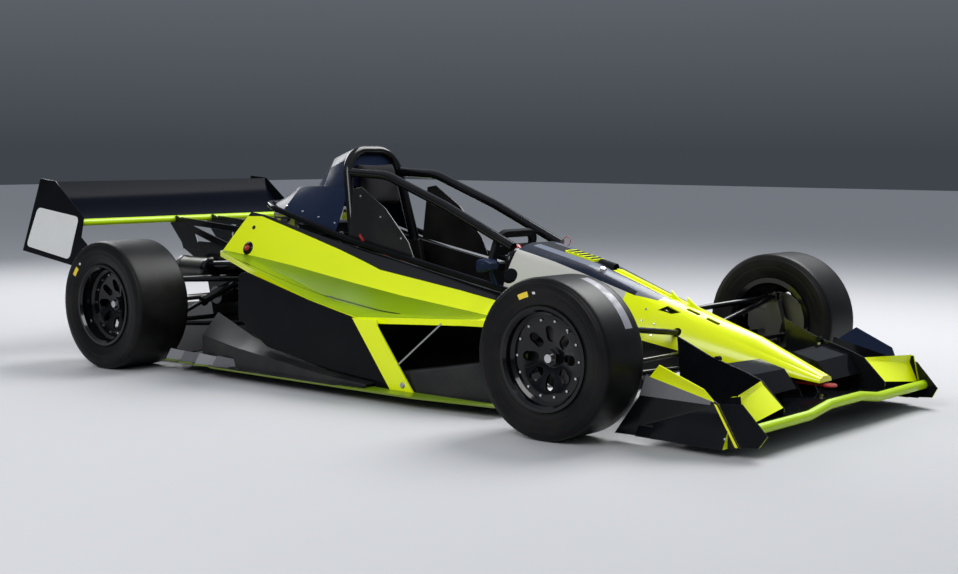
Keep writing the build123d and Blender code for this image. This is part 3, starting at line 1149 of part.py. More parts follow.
# Mirrors: rounded pods on short stalks beside the cowl, with a shallow recess for the glass behind
MIRROR_X = front(-735)
MIRROR_Y = 283.0
MIRROR_Z = 517.0
MIRROR_WIDE = 92.0
MIRROR_HIGH = 52.0
MIRROR_DEPTH = 52.0
GLASS_RECESS = 4.0
with BuildPart() as mirrors:
    for side, _ in SIDES:
        with BuildSketch(Plane.YZ.offset(MIRROR_X)) as back:
            with Locations((side * MIRROR_Y, MIRROR_Z)):
                RectangleRounded(MIRROR_WIDE, MIRROR_HIGH, 18)
        with BuildSketch(Plane.YZ.offset(MIRROR_X + MIRROR_DEPTH * 0.6)) as middle:
            with Locations((side * MIRROR_Y, MIRROR_Z)):
                RectangleRounded(MIRROR_WIDE - 6, MIRROR_HIGH - 6, 18)
        with BuildSketch(Plane.YZ.offset(MIRROR_X + MIRROR_DEPTH)) as tip:
            with Locations((side * MIRROR_Y, MIRROR_Z)):
                RectangleRounded(MIRROR_WIDE - 36, MIRROR_HIGH - 28, 10)
        loft([back.sketch, middle.sketch, tip.sketch], ruled=True)
        with BuildSketch(Plane.YZ.offset(MIRROR_X)) as glass:
            with Locations((side * MIRROR_Y, MIRROR_Z)):
                RectangleRounded(MIRROR_WIDE - 8, MIRROR_HIGH - 8, 14)
        extrude(glass.sketch, amount=GLASS_RECESS, mode=Mode.SUBTRACT)
        rod((MIRROR_X + 25, side * (RIM_HALF + 2), 438), (MIRROR_X + 25, side * (MIRROR_Y - 8), MIRROR_Z - 20), 6)
        rod((MIRROR_X + 45, side * (RIM_HALF + 2), 436), (MIRROR_X + 32, side * (MIRROR_Y - 8), MIRROR_Z - 20), 5)
    add(cockpit_rim.part, mode=Mode.SUBTRACT)
    add(body_sides.part, mode=Mode.SUBTRACT)
mirrors.part.label = "mirrors"

for piece in (
        chassis_tub, nose_cone, front_cowl, tow_eye, body_sides, pod_panels, pod_legs, radiators, floor,
        tunnels, diffuser, roll_hoop, side_bars, cockpit_rim, engine_cover, headrest_fairing, head_panels,
        seat, headrest_pad, engine, final_drive, rear_plates, exhaust, rear_wing, rear_wing_nose, rear_wing_plates,
        front_wing, front_wing_nose, front_flaps, front_wing_plates, front_wing_hangers,
        front_suspension, rear_uprights, rear_suspension, steering_rack, rack_housing, steering_wheel, mirrors):
    export_step(piece.part, f"parts/{piece.part.label}.step")
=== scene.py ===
import bpy
import bmesh
import json
import math
from itertools import accumulate
from mathutils import Matrix, Vector
from mathutils.bvhtree import BVHTree


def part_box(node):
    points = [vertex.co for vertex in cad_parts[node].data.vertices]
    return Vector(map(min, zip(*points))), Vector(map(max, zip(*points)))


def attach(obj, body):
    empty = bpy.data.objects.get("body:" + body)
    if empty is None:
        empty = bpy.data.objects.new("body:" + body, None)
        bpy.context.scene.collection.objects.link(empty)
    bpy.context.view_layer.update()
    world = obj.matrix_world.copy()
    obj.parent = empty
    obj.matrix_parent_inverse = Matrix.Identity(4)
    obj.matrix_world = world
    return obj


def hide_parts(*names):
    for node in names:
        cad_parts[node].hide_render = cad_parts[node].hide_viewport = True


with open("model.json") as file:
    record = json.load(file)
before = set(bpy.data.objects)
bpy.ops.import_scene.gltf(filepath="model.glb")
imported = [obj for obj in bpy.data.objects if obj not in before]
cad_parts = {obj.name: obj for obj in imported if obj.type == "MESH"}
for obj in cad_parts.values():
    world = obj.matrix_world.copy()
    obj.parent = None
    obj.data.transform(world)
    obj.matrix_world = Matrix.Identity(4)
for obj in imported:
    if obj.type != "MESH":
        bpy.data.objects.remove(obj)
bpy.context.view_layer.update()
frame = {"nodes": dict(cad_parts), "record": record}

# Viewpoint, floor and soft light.
# A low three-quarter view of the car's right-hand side and front, over a plain pale floor.
# It is lit by three large soft lamps and by a sky that is dim at the horizon.
FOCAL_PIXELS = 1497.45
IMAGE_WIDTH = 958.0
SENSOR_WIDTH = 36.0
CAMERA_AT = Vector((4.3554, -4.7251, 0.9714))
YAW, PITCH, ROLL = 0.70794, 0.09214, 0.00358
VIEW_REACH = 100.0
FLOOR_REACH = 30
FLOOR_COLOUR, FLOOR_ROUGHNESS = (0.46, 0.46, 0.47, 1), 0.8
HORIZON, ZENITH = (0.10, 0.115, 0.14, 1), (0.75, 0.82, 0.92, 1)
ZENITH_FROM = 0.55
SKY_STRENGTH = 0.5
# columns: name, place, aim, size and power
LAMPS = (
    ("soft_key", (1.0, 3.4, 4.8), (0.0, 0.0, 0.3), 3.6, 400),
    ("soft_side", (1.6, -5.6, 4.0), (0.2, 0.0, 0.4), 3.0, 200),
    ("soft_back", (-5.5, 1.0, 3.6), (0.0, 0.0, 0.4), 3.0, 180),
)


def placed(name, data):
    # a new object in the scene
    thing = bpy.data.objects.new(name, data)
    bpy.context.scene.collection.objects.link(thing)
    return thing


def connected(tree, node, inputs):
    # each input of a node takes a value or another node's output
    for socket, value in inputs.items():
        if isinstance(value, bpy.types.NodeSocket):
            tree.links.new(value, node.inputs[socket])
        else:
            node.inputs[socket].default_value = value
    return node


def added(tree, kind, inputs=None, **settings):
    # a new node with its settings and inputs
    node = tree.nodes.new(kind)
    for setting, value in settings.items():
        setattr(node, setting, value)
    return connected(tree, node, inputs or {})


forward = Vector((-math.sin(YAW) * math.cos(PITCH), math.cos(YAW) * math.cos(PITCH), -math.sin(PITCH)))
level_right = Vector((math.cos(YAW), math.sin(YAW), 0.0))
level_up = level_right.cross(forward)
right = math.cos(ROLL) * level_right + math.sin(ROLL) * level_up
up = -math.sin(ROLL) * level_right + math.cos(ROLL) * level_up
turn = Matrix((right, up, -forward)).transposed()
camera_data = bpy.data.cameras.new("view")
camera_data.sensor_width = SENSOR_WIDTH
camera_data.lens = FOCAL_PIXELS / IMAGE_WIDTH * SENSOR_WIDTH
camera_data.clip_end = VIEW_REACH
camera = placed("view", camera_data)
camera.matrix_world = Matrix.Translation(CAMERA_AT) @ turn.to_4x4()
bpy.context.scene.camera = camera
bpy.context.scene.view_settings.view_transform = "Standard"

floor_mesh = bpy.data.meshes.new("studio_floor")
floor_corners = [(x * FLOOR_REACH, y * FLOOR_REACH, 0) for x, y in ((-1, -1), (1, -1), (1, 1), (-1, 1))]
floor_mesh.from_pydata(floor_corners, [], [(0, 1, 2, 3)])
floor_finish = bpy.data.materials.new("studio_floor_pale")
floor_finish.use_nodes = True
connected(floor_finish.node_tree, floor_finish.node_tree.nodes["Principled BSDF"], {
    "Base Color": FLOOR_COLOUR, "Roughness": FLOOR_ROUGHNESS})
floor_mesh.materials.append(floor_finish)
placed("studio_floor", floor_mesh)

sky = bpy.data.worlds.new("studio_sky")
sky.use_nodes = True
sky_place = added(sky.node_tree, "ShaderNodeTexCoord")
sky_height = added(sky.node_tree, "ShaderNodeSeparateXYZ", {"Vector": sky_place.outputs["Generated"]})
sky_shade = added(sky.node_tree, "ShaderNodeValToRGB", {"Fac": sky_height.outputs["Z"]})
for element, height, colour in zip(sky_shade.color_ramp.elements, (0.0, ZENITH_FROM), (HORIZON, ZENITH)):
    element.position = height
    element.color = colour
connected(sky.node_tree, sky.node_tree.nodes["Background"], {
    "Color": sky_shade.outputs["Color"], "Strength": SKY_STRENGTH})
bpy.context.scene.world = sky
for lamp_name, place, aim, size, power in LAMPS:
    lamp_data = bpy.data.lights.new(lamp_name, "AREA")
    lamp_data.size = size
    lamp_data.energy = power
    aimed = (Vector(aim) - Vector(place)).to_track_quat("-Z", "Y")
    placed(lamp_name, lamp_data).matrix_world = Matrix.Translation(place) @ aimed.to_matrix().to_4x4()

# Lime skins: band and shelf of the body sides, legs and the wings' leading edges.
# Thin moulded shells in yellow-green gloss lacquer with a light film of dust and rounded edges.
# The band is black along its top; the hollow shelf below it is the same lime, its colour darkened to a deeper
# green as painted shade, with a dark line.
nodes = frame["nodes"]
record = frame["record"]
BODY_OF = {node: body for body, members in record["behaviour"]["bodies"].items() for node in members}
FRONT_AXLE_X = sum(corner[0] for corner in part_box("wheel_front_left")) / 2
REAR_AXLE_X = sum(corner[0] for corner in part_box("wheel_rear_left")) / 2
LIME = (0.85, 0.97, 0.002, 1)
TUBE_LIME = (0.46, 0.68, 0.004, 1)
# the shelf's lime darkened as painted shade; the floor's green edge takes it too
SHELF_LIME = (0.19, 0.31, 0.003, 1)
LINE_GREEN = (0.03, 0.05, 0.003, 1)
DARK = (0.004, 0.0045, 0.006, 1)
DUST_COLOUR = (0.20, 0.19, 0.17, 1)
DUST_FROM, DUST_FULL, DUST_ROUGHNESS = 0.42, 0.75, 0.9
BUMP_DEPTH = 0.001
COAT_ROUGHNESS = 0.05
MERGE_DISTANCE = 0.00002
FLAT_ANGLE = math.radians(0.5)
# grain and bump of a sprayed lacquer
LACQUER = {"grain": 250.0, "bump": 0.01}


def front(millimetres):
    # a station measured forward from the front axle
    return FRONT_AXLE_X + millimetres / 1000


def rear(millimetres):
    # a station measured forward from the rear axle
    return REAR_AXLE_X + millimetres / 1000


def sockets(tree, direction, kind, *names):
    # named inputs or outputs of a node group
    for name in names:
        tree.interface.new_socket(name, in_out=direction, socket_type="NodeSocket" + kind)


def reckoned(tree, operation, *values, **settings):
    # the outcome of one sum, product or comparison
    inputs = dict(enumerate(values))
    return added(tree, "ShaderNodeMath", inputs, operation=operation, **settings).outputs["Value"]


def mixed(tree, share, first, second):
    # a colour part of the way from the first to the second
    inputs = {"Factor": share, "A": first, "B": second}
    return added(tree, "ShaderNodeMix", inputs, data_type="RGBA").outputs["Result"]


def surface_group():
    # one group for the fine unevenness and dust on every lacquered or bare part
    tree = bpy.data.node_groups.new("surface_film", "ShaderNodeTree")
    sockets(tree, "INPUT", "Color", "Colour")
    sockets(tree, "INPUT", "Float", "Dust", "Roughness", "Grain", "Patch")
    sockets(tree, "OUTPUT", "Color", "Colour")
    sockets(tree, "OUTPUT", "Float", "Roughness", "Height")
    given = added(tree, "NodeGroupInput").outputs
    place = added(tree, "ShaderNodeTexCoord").outputs["Object"]
    patch = added(tree, "ShaderNodeTexNoise", {"Vector": place, "Scale": given["Patch"], "Detail": 5.0})
    grain = added(tree, "ShaderNodeTexNoise", {"Vector": place, "Scale": given["Grain"], "Detail": 2.0})
    film = added(tree, "ShaderNodeMapRange", {
        "Value": patch.outputs["Fac"], "From Min": DUST_FROM, "From Max": DUST_FULL})
    amount = reckoned(tree, "MULTIPLY", film.outputs["Result"], given["Dust"])
    rough = reckoned(tree, "MULTIPLY_ADD", amount, DUST_ROUGHNESS, given["Roughness"], use_clamp=True)
    added(tree, "NodeGroupOutput", {
        "Colour": mixed(tree, amount, given["Colour"], DUST_COLOUR), "Roughness": rough,
        "Height": grain.outputs["Fac"]})
    return tree


def field_group(name, axis, operation):
    # a mask that is 1 between two stations, on one side of a limit that runs straight from one to the other
    tree = bpy.data.node_groups.new(name, "ShaderNodeTree")
    sockets(tree, "INPUT", "Float", "Rear X", "Front X", "At Rear", "At Front")
    sockets(tree, "OUTPUT", "Float", "Inside")
    given = added(tree, "NodeGroupInput").outputs
    place = added(tree, "ShaderNodeTexCoord").outputs["Object"]
    axes = added(tree, "ShaderNodeSeparateXYZ", {"Vector": place}).outputs
    limit = added(tree, "ShaderNodeMapRange", {
        "Value": axes["X"], "From Min": given["Rear X"], "From Max": given["Front X"],
        "To Min": given["At Rear"], "To Max": given["At Front"]})
    inside = reckoned(tree, operation, reckoned(tree, "ABSOLUTE", axes[axis]), limit.outputs["Result"])
    for comparison, station in (("GREATER_THAN", "Rear X"), ("LESS_THAN", "Front X")):
        passed = reckoned(tree, comparison, axes["X"], given[station])
        inside = reckoned(tree, "MULTIPLY", inside, passed)
    added(tree, "NodeGroupOutput", {"Inside": inside})
    return tree


surface_film = surface_group()
within_width = field_group("within_width", "Y", "LESS_THAN")
above_line = field_group("above_line", "Z", "GREATER_THAN")


def filmed(name, colour, roughness, dust=0.06, coat=0.0, metallic=0.0, grain=900.0, patch=6.0, bump=0.02,
           specular=0.5):
    # a finish with its film of dust and its fine unevenness
    finish = bpy.data.materials.new(name)
    finish.use_nodes = True
    tree = finish.node_tree
    film = added(tree, "ShaderNodeGroup", {
        "Colour": colour, "Dust": dust, "Roughness": roughness, "Grain": grain, "Patch": patch},
        node_tree=surface_film, name="film")
    bumped = added(tree, "ShaderNodeBump", {
        "Strength": bump, "Distance": BUMP_DEPTH, "Height": film.outputs["Height"]})
    connected(tree, tree.nodes["Principled BSDF"], {
        "Base Color": film.outputs["Colour"], "Roughness": film.outputs["Roughness"],
        "Normal": bumped.outputs["Normal"], "Metallic": metallic, "Specular IOR Level": specular,
        "Coat Weight": coat, "Coat Roughness": COAT_ROUGHNESS})
    return finish


def striped(name, base, fields, station, group=within_width, **finish_values):
    # a filmed finish whose colour changes inside each field: rear end, front end, limit at each, colour
    finish = filmed(name, base, **finish_values)
    tree = finish.node_tree
    colour = base
    for rear_end, front_end, at_rear, at_front, field_colour in fields:
        field = added(tree, "ShaderNodeGroup", {
            "Rear X": station(rear_end), "Front X": station(front_end),
            "At Rear": at_rear, "At Front": at_front}, node_tree=group)
        colour = mixed(tree, field.outputs["Inside"], colour, field_colour)
    connected(tree, tree.nodes["film"], {"Colour": colour})
    return finish


def meshed(shape, outwards=False):
    # the worked shape as a mesh, with its faces turned outwards where that is asked
    if outwards:
        bmesh.ops.recalc_face_normals(shape, faces=shape.faces)
    mesh = bpy.data.meshes.new("worked")
    shape.to_mesh(mesh)
    shape.free()
    return mesh


def finished(node_name, *finishes, edge=0.0012, crease=32.0, choose=None):
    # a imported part, its facets merged, its curves smooth and its edges rounded, in one or more finishes
    shape = bmesh.new()
    shape.from_mesh(nodes[node_name].data)
    bmesh.ops.remove_doubles(shape, verts=shape.verts, dist=MERGE_DISTANCE)
    bmesh.ops.dissolve_limit(shape, angle_limit=FLAT_ANGLE, verts=shape.verts, edges=shape.edges)
    bmesh.ops.recalc_face_normals(shape, faces=shape.faces)
    for line in shape.edges:
        line.smooth = line.is_manifold and line.calc_face_angle() < math.radians(crease)
    for face in shape.faces:
        face.smooth = True
        face.material_index = choose(face.calc_center_median(), face.normal) if choose else 0
    part = placed(node_name + "_finished", meshed(shape))
    for finish in finishes:
        part.data.materials.append(finish)
    rounding = part.modifiers.new("rounding", "BEVEL")
    rounding.width = edge
    rounding.segments = 2
    rounding.limit_method = "ANGLE"
    rounding.angle_limit = math.radians(crease)
    rounding.harden_normals = True
    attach(part, BODY_OF[node_name])
    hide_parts(node_name)


lime_paint = filmed("lime_paint", LIME, 0.22, dust=0.02, coat=0.15, grain=250.0, specular=0.35)
tube_lime = filmed("tube_lime", TUBE_LIME, 0.24, dust=0.02, coat=0.1, grain=250.0, specular=0.3)
for part_name in ("front_wing_nose", "rear_wing_nose"):
    finished(part_name, tube_lime)

# columns: millimetres from the rear axle, height in metres above which the band is black
BAND_TOP = ((240, 0.664), (440, 0.668), (924, 0.541), (1174, 0.470), (1604, 0.412), (2060, 0.342))
band_fields = [(x0, x1, z0, z1, DARK) for (x0, z0), (x1, z1) in zip(BAND_TOP, BAND_TOP[1:])]
band_paint = striped("band_paint", LIME, band_fields, rear, above_line, roughness=0.2, dust=0.02, coat=0.1,
                     grain=250.0, specular=0.3)
# columns: millimetres from the rear axle, metres from the car's middle to the dark line along the shelf
SHELF_LINE = ((440, 0.455), (709, 0.512), (886, 0.504), (1060, 0.469), (1473, 0.487))
LINE_HALF_WIDTH = 0.005
shelf_fields = []
for (x0, y0), (x1, y1) in zip(SHELF_LINE, SHELF_LINE[1:]):
    for reach, colour in ((LINE_HALF_WIDTH, LINE_GREEN), (-LINE_HALF_WIDTH, SHELF_LIME)):
        shelf_fields.append((x0, x1, y0 + reach, y1 + reach, colour))
# the shelf's finish: the band's lacquer with its colour darkened as painted shade
shelf_lacquer_painted_shade = striped("shelf_lacquer_painted_shade", SHELF_LIME, shelf_fields, rear, roughness=0.22, dust=0.03,
                      specular=0.12, **LACQUER)
SHELF_LEVEL = 0.86
SHELF_INNER = 0.3
SHELF_FRONT_X = rear(1840)
STAY_OUTER = 0.6075


def body_side(centre, normal):
    # the steep band is one finish, the nearly level shelf another, whose lime is darkened as painted shade
    level = abs(normal.z) > SHELF_LEVEL
    return 1 if level and abs(centre.y) > SHELF_INNER and centre.x < SHELF_FRONT_X else 0


def leg_side(centre, normal):
    # the thin stay by each lime leg, nearer the car's middle, is bare metal
    return 1 if abs(centre.y) < STAY_OUTER else 0


finished("body_sides", band_paint, shelf_lacquer_painted_shade, crease=12.0, choose=body_side)
stay_metal = filmed("stay_metal", (0.55, 0.55, 0.56, 1), 0.3, dust=0.05, metallic=1.0)
finished("pod_legs", lime_paint, stay_metal, choose=leg_side)

# Nose cone, cowl and tow eye.
# Moulded skins, lime at the nose, with navy, black, grey-blue and silver fields on the cowl.
# The tow eye is a plate in red enamel under the nose's tip.
SILVER = (0.52, 0.51, 0.47, 1)
STEEL_BLUE = (0.15, 0.17, 0.22, 1)
NAVY = (0.006, 0.010, 0.026, 1)
PALE = (0.16, 0.17, 0.19, 1)
WHOLE_WIDTH = 1.0
# columns: ends in millimetres from the front axle, distance from the car's middle at each, colour
COWL_FIELDS = (
    (-182, -10, WHOLE_WIDTH, WHOLE_WIDTH, LIME),
    (-670, -147, 0.155, 0.100, NAVY),
    (-147, -10, 0.100, 0.055, PALE),
    (-640, -147, 0.092, 0.080, STEEL_BLUE),
    (-330, -10, 0.070, 0.040, STEEL_BLUE),
    (-670, -10, 0.046, 0.034, DARK),
    (-296, -10, 0.031, 0.027, LIME),
    (-524, -385, 0.037, 0.037, LIME))
NOSE_FIELDS = (
    (-60, 30, 0.062, 0.026, PALE), (-60, 60, 0.034, 0.024, DARK), (-60, 60, 0.028, 0.022, LIME))
cowl_livery = striped("cowl_livery", SILVER, COWL_FIELDS, front, roughness=0.24, dust=0.03, coat=0.05,
                      specular=0.2)
finished("front_cowl", cowl_livery)
nose_livery = striped("nose_livery", LIME, NOSE_FIELDS, front, roughness=0.22, dust=0.02, coat=0.15,
                      specular=0.35)
finished("nose_cone", nose_livery)
red_paint = filmed("red_paint", (0.45, 0.012, 0.01, 1), 0.3, coat=0.3)
finished("tow_eye", red_paint)

# Black and navy skins: pod panels, cockpit rim, covers, wings and mirrors.
# Moulded and folded skins in dark lacquer; each mirror holds silvered glass.
# The front wing's winglets and main flaps are lime, and its adjusters have bright ball joints.
black_gloss = filmed("black_gloss", DARK, 0.10, dust=0.01, coat=0.02, specular=0.06, **LACQUER)
wing_black = filmed("wing_black", (0.003, 0.004, 0.008, 1), 0.16, dust=0.0, specular=0.02, **LACQUER)
navy_gloss = filmed("navy_gloss", (0.010, 0.017, 0.042, 1), 0.22, dust=0.02, specular=0.04, **LACQUER)
plate_gloss = filmed("plate_gloss", DARK, 0.14, dust=0.02, coat=0.05, specular=0.3, **LACQUER)
mirror_glass = filmed("mirror_glass", (0.75, 0.77, 0.80, 1), 0.03, dust=0.02, metallic=1.0, bump=0.0)
# where faces turn, as a share of one: back, outward, up, forward, sideways and down
MIRROR_BACKWARD = -0.95
WINGLET_OUTWARD = 0.3
STEP_UPWARD, STEP_FORWARD = 0.7, 0.75
RISER_SIDEWAYS, FLAP_DOWNWARD = 0.8, -0.3
MIRROR_GLASS_X = (front(-733), front(-729))
# the line above which a winglet rises from its end plate, and where the winglets are
WINGLET_LINE_X, WINGLET_LINE_Z, WINGLET_LINE_FALL = front(287), 0.2315, 0.23
WINGLET_REAR_X, WINGLET_INNER = front(298), 0.5
# the folded step at the end plate's front foot
FOOT_STEP_X, FOOT_STEP_INNER = front(566), 0.6
# the ball joint of each flap's adjuster, and the fence that parts the inner flap from the main one
JOINT_X, JOINT_INNER, JOINT_TOP = (front(370), front(402)), 0.34, 0.236
FENCE_Y = 0.372


def mirror_side(centre, normal):
    # silvered glass in the recess that faces back
    return 1 if normal.x < MIRROR_BACKWARD and MIRROR_GLASS_X[0] < centre.x < MIRROR_GLASS_X[1] else 0


def end_plate_side(centre, normal):
    # the winglets are lime outside and navy inside, and the front foot's step is lime on top
    outward = normal.y if centre.y > 0 else -normal.y
    above = centre.z > WINGLET_LINE_Z - WINGLET_LINE_FALL * (centre.x - WINGLET_LINE_X)
    if above and abs(centre.y) > WINGLET_INNER and centre.x > WINGLET_REAR_X:
        return 1 if outward > WINGLET_OUTWARD else 2
    open_step = normal.z > STEP_UPWARD or normal.x > STEP_FORWARD
    return 1 if abs(centre.y) > FOOT_STEP_INNER and centre.x > FOOT_STEP_X and open_step else 0


def flap_side(centre, normal):
    # lime main flaps; inner flaps, undersides and risers dark; the adjusters' ball joints bright
    distance = abs(centre.y)
    if JOINT_INNER < distance < FENCE_Y and JOINT_X[0] < centre.x < JOINT_X[1] and centre.z < JOINT_TOP:
        return 2
    riser = abs(normal.y) > RISER_SIDEWAYS
    return 1 if distance < FENCE_Y or riser or normal.z < FLAP_DOWNWARD else 0


for part_name in ("pod_panels", "cockpit_rim", "front_wing"):
    finished(part_name, black_gloss)
finished("rear_wing", wing_black)
for part_name in ("engine_cover", "headrest_fairing"):
    finished(part_name, navy_gloss)
finished("rear_wing_plates", black_gloss)
finished("mirrors", navy_gloss, mirror_glass, choose=mirror_side)
finished("front_wing_plates", plate_gloss, lime_paint, navy_gloss, choose=end_plate_side)
finished("front_flaps", lime_paint, black_gloss, stay_metal, choose=flap_side)

# Tub, tunnels, head panels and front wing hangers in satin carbon laminate.
# Twill cloth moulded flat, its weave just visible under a thin clear coat.
# The small vanes at the floor's rear steps are painted grey; every other one is a paler copy of that grey,
# painted light that parts each vane from the next.
WEAVE_TURN = (math.radians(45), math.radians(35), math.radians(45))
WEAVE_CELL = 0.004
WEAVE_CONTRAST = 0.5
VANE_FRONT_X, VANE_TOP = rear(700), 0.105
VANE_SIDEWAYS, VANE_SLANT = 0.9, 0.15
# the vanes that keep the darker grey; the others take the paler copy, painted light
DARK_VANES_X = ((rear(340), rear(450)), (rear(564), VANE_FRONT_X))
# grain and bump of bare laminate
LAMINATE = {"grain": 700.0, "bump": 0.04}


def woven(name, colour, roughness, **finish_values):
    # a filmed finish over a twill weave of dark and darker tows
    finish = filmed(name, colour, roughness, **finish_values)
    tree = finish.node_tree
    place = added(tree, "ShaderNodeTexCoord")
    turned = added(tree, "ShaderNodeMapping", {"Vector": place.outputs["Object"], "Rotation": WEAVE_TURN})
    darker = tuple(channel * WEAVE_CONTRAST for channel in colour[:3]) + (1,)
    checks = added(tree, "ShaderNodeTexChecker", {
        "Vector": turned.outputs["Vector"], "Scale": 1 / WEAVE_CELL, "Color1": colour, "Color2": darker})
    connected(tree, tree.nodes["film"], {"Colour": checks.outputs["Color"]})
    return finish


def tunnel_side(centre, normal):
    # laminate, but for the upright faces of the vanes, grey in two tones whose paler one is painted light
    slanting = abs(normal.y) >= VANE_SIDEWAYS and abs(normal.x) >= VANE_SLANT
    if centre.x > VANE_FRONT_X or centre.z > VANE_TOP or not slanting:
        return 0
    return 1 if any(low < centre.x < high for low, high in DARK_VANES_X) else 2


carbon = woven("carbon", (0.009, 0.009, 0.010, 1), 0.30, dust=0.05, coat=0.10, specular=0.25, **LAMINATE)
for part_name in ("chassis_tub", "head_panels", "front_wing_hangers"):
    finished(part_name, carbon)
board_carbon = woven("board_carbon", (0.014, 0.014, 0.015, 1), 0.36, dust=0.10, coat=0.05, specular=0.3,
                     **LAMINATE)
vane_paint = filmed("vane_paint", (0.12, 0.124, 0.135, 1), 0.4, dust=0.1, coat=0.1)
# a paler copy of the vane grey, painted light
vane_grey_painted_light = filmed("vane_grey_painted_light", (0.26, 0.265, 0.28, 1), 0.4, dust=0.1, coat=0.1)
finished("tunnels", board_carbon, vane_paint, vane_grey_painted_light, choose=tunnel_side)

# Floor board and diffuser, matt black and dusty.
# A laminated board bolted flat under the tub, green on its outer edge and along its front sides.
BOARD = (0.010, 0.010, 0.011, 1)
# columns: ends in millimetres from the rear axle, distance from the car's middle at each, colour
BOARD_FIELDS = ((0, 1320, 0.80, 0.80, BOARD), (1300, 2300, 0.606, 0.606, BOARD))
BOARD_EDGE_INNER, EDGE_LEVEL = 0.6, 0.5


def floor_side(centre, normal):
    # the board's outer edge is green all along
    return 1 if abs(normal.z) < EDGE_LEVEL and abs(centre.y) > BOARD_EDGE_INNER else 0


floor_board = filmed("floor_board", BOARD, 0.5, dust=0.08, grain=500.0, bump=0.08, specular=0.2)
floor_livery = striped("floor_livery", SHELF_LIME, BOARD_FIELDS, rear, roughness=0.3, dust=0.15, coat=0.1,
                       grain=500.0, bump=0.05)
edge_green = filmed("edge_green", (0.14, 0.20, 0.01, 1), 0.4, dust=0.2)
finished("floor", floor_livery, edge_green, choose=floor_side)
finished("diffuser", floor_board)

# Hoops, bars, rear plates and suspension in black enamel.
# Steel tube and plate, enamelled after welding, its edges rounded by less than a millimetre.
black_steel = filmed("black_steel", (0.003, 0.003, 0.004, 1), 0.13, dust=0.02, coat=0.12, specular=0.25)
for part_name in (
        "roll_hoop", "side_bars", "rear_plates", "front_suspension", "rear_suspension", "steering_rack"):
    finished(part_name, black_steel, edge=0.0008)

# Cast and turned metal: engine, drive, uprights, discs, shafts, exhaust and radiators.
# Grey castings, a dark engine with a bright coolant pipe, turned steel, and a black finned core.
cast_metal = filmed("cast_metal", (0.12, 0.12, 0.125, 1), 0.42, dust=0.1, metallic=0.9, grain=800.0, bump=0.2)
engine_metal = filmed("engine_metal", (0.09, 0.09, 0.10, 1), 0.42, dust=0.2, metallic=0.7, grain=800.0,
                      bump=0.2)
bright_metal = filmed("bright_metal", (0.62, 0.62, 0.63, 1), 0.22, dust=0.04, metallic=1.0)
disc_steel = filmed("disc_steel", (0.20, 0.195, 0.19, 1), 0.34, dust=0.05, metallic=1.0)
exhaust_metal = filmed("exhaust_metal", (0.09, 0.088, 0.085, 1), 0.32, dust=0.1, metallic=1.0)
radiator_core = filmed("radiator_core", (0.015, 0.015, 0.016, 1), 0.5, dust=0.15, metallic=0.4)
PIPE_INNER, PIPE_FOOT = 0.184, 0.57
SILENCER_CAP_X = rear(-53)


def engine_side(centre, normal):
    # the coolant pipe outside the cases is bright
    return 1 if abs(centre.y) > PIPE_INNER and centre.z > PIPE_FOOT else 0


def exhaust_side(centre, normal):
    # the silencer's front cap is black
    return 1 if centre.x > SILENCER_CAP_X else 0


for part_name in ("final_drive", "rack_housing", "rear_uprights", "knuckle_left", "knuckle_right"):
    finished(part_name, cast_metal)
finished("engine", engine_metal, bright_metal, choose=engine_side)
finished("exhaust", exhaust_metal, black_steel, choose=exhaust_side)
for part_name in ("brake_disc_left", "half_shaft_left", "brake_disc_right", "half_shaft_right"):
    finished(part_name, disc_steel)
finished("radiators", radiator_core)

# Wheels: gloss black rims with a ring of bright bolts, a bright centre nut and a valve.
# Deep dished three-piece racing wheels; the bolts hold the centre to the barrel.
wheel_black = filmed("wheel_black", (0.002, 0.002, 0.003, 1), 0.12, dust=0.01, coat=0.15, specular=0.3)
SIDES = (("right", -1), ("left", 1))
# columns: end of the car, rim half width, tyre half width, tyre radius, all in metres
WHEEL_SIZES = (("front", 0.102, 0.1085, 0.275), ("rear", 0.127, 0.1345, 0.281))
BOLT_CIRCLE, BOLT_FACE, WHEEL_BOLTS = 0.130, 0.062, 14
BOLT_SINK = 0.0005
NUT_FACE = 0.0545
VALVE_REACH, VALVE_OUT, VALVE_LEAN = 0.103, 0.004, 0.3
HEAD_SIDES = 18
HEAD_TAPER = 0.7
# a head is its radius and its height
BOLT_HEAD, NUT_HEAD, VALVE_HEAD = (0.0062, 0.006), (0.021, 0.012), (0.004, 0.022)


def piece(name, mesh, finish, body="chassis"):
    # a new visible part that rides on a body
    mesh.name = name
    if finish:
        mesh.materials.append(finish)
    part = placed(name, mesh)
    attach(part, body)
    return part


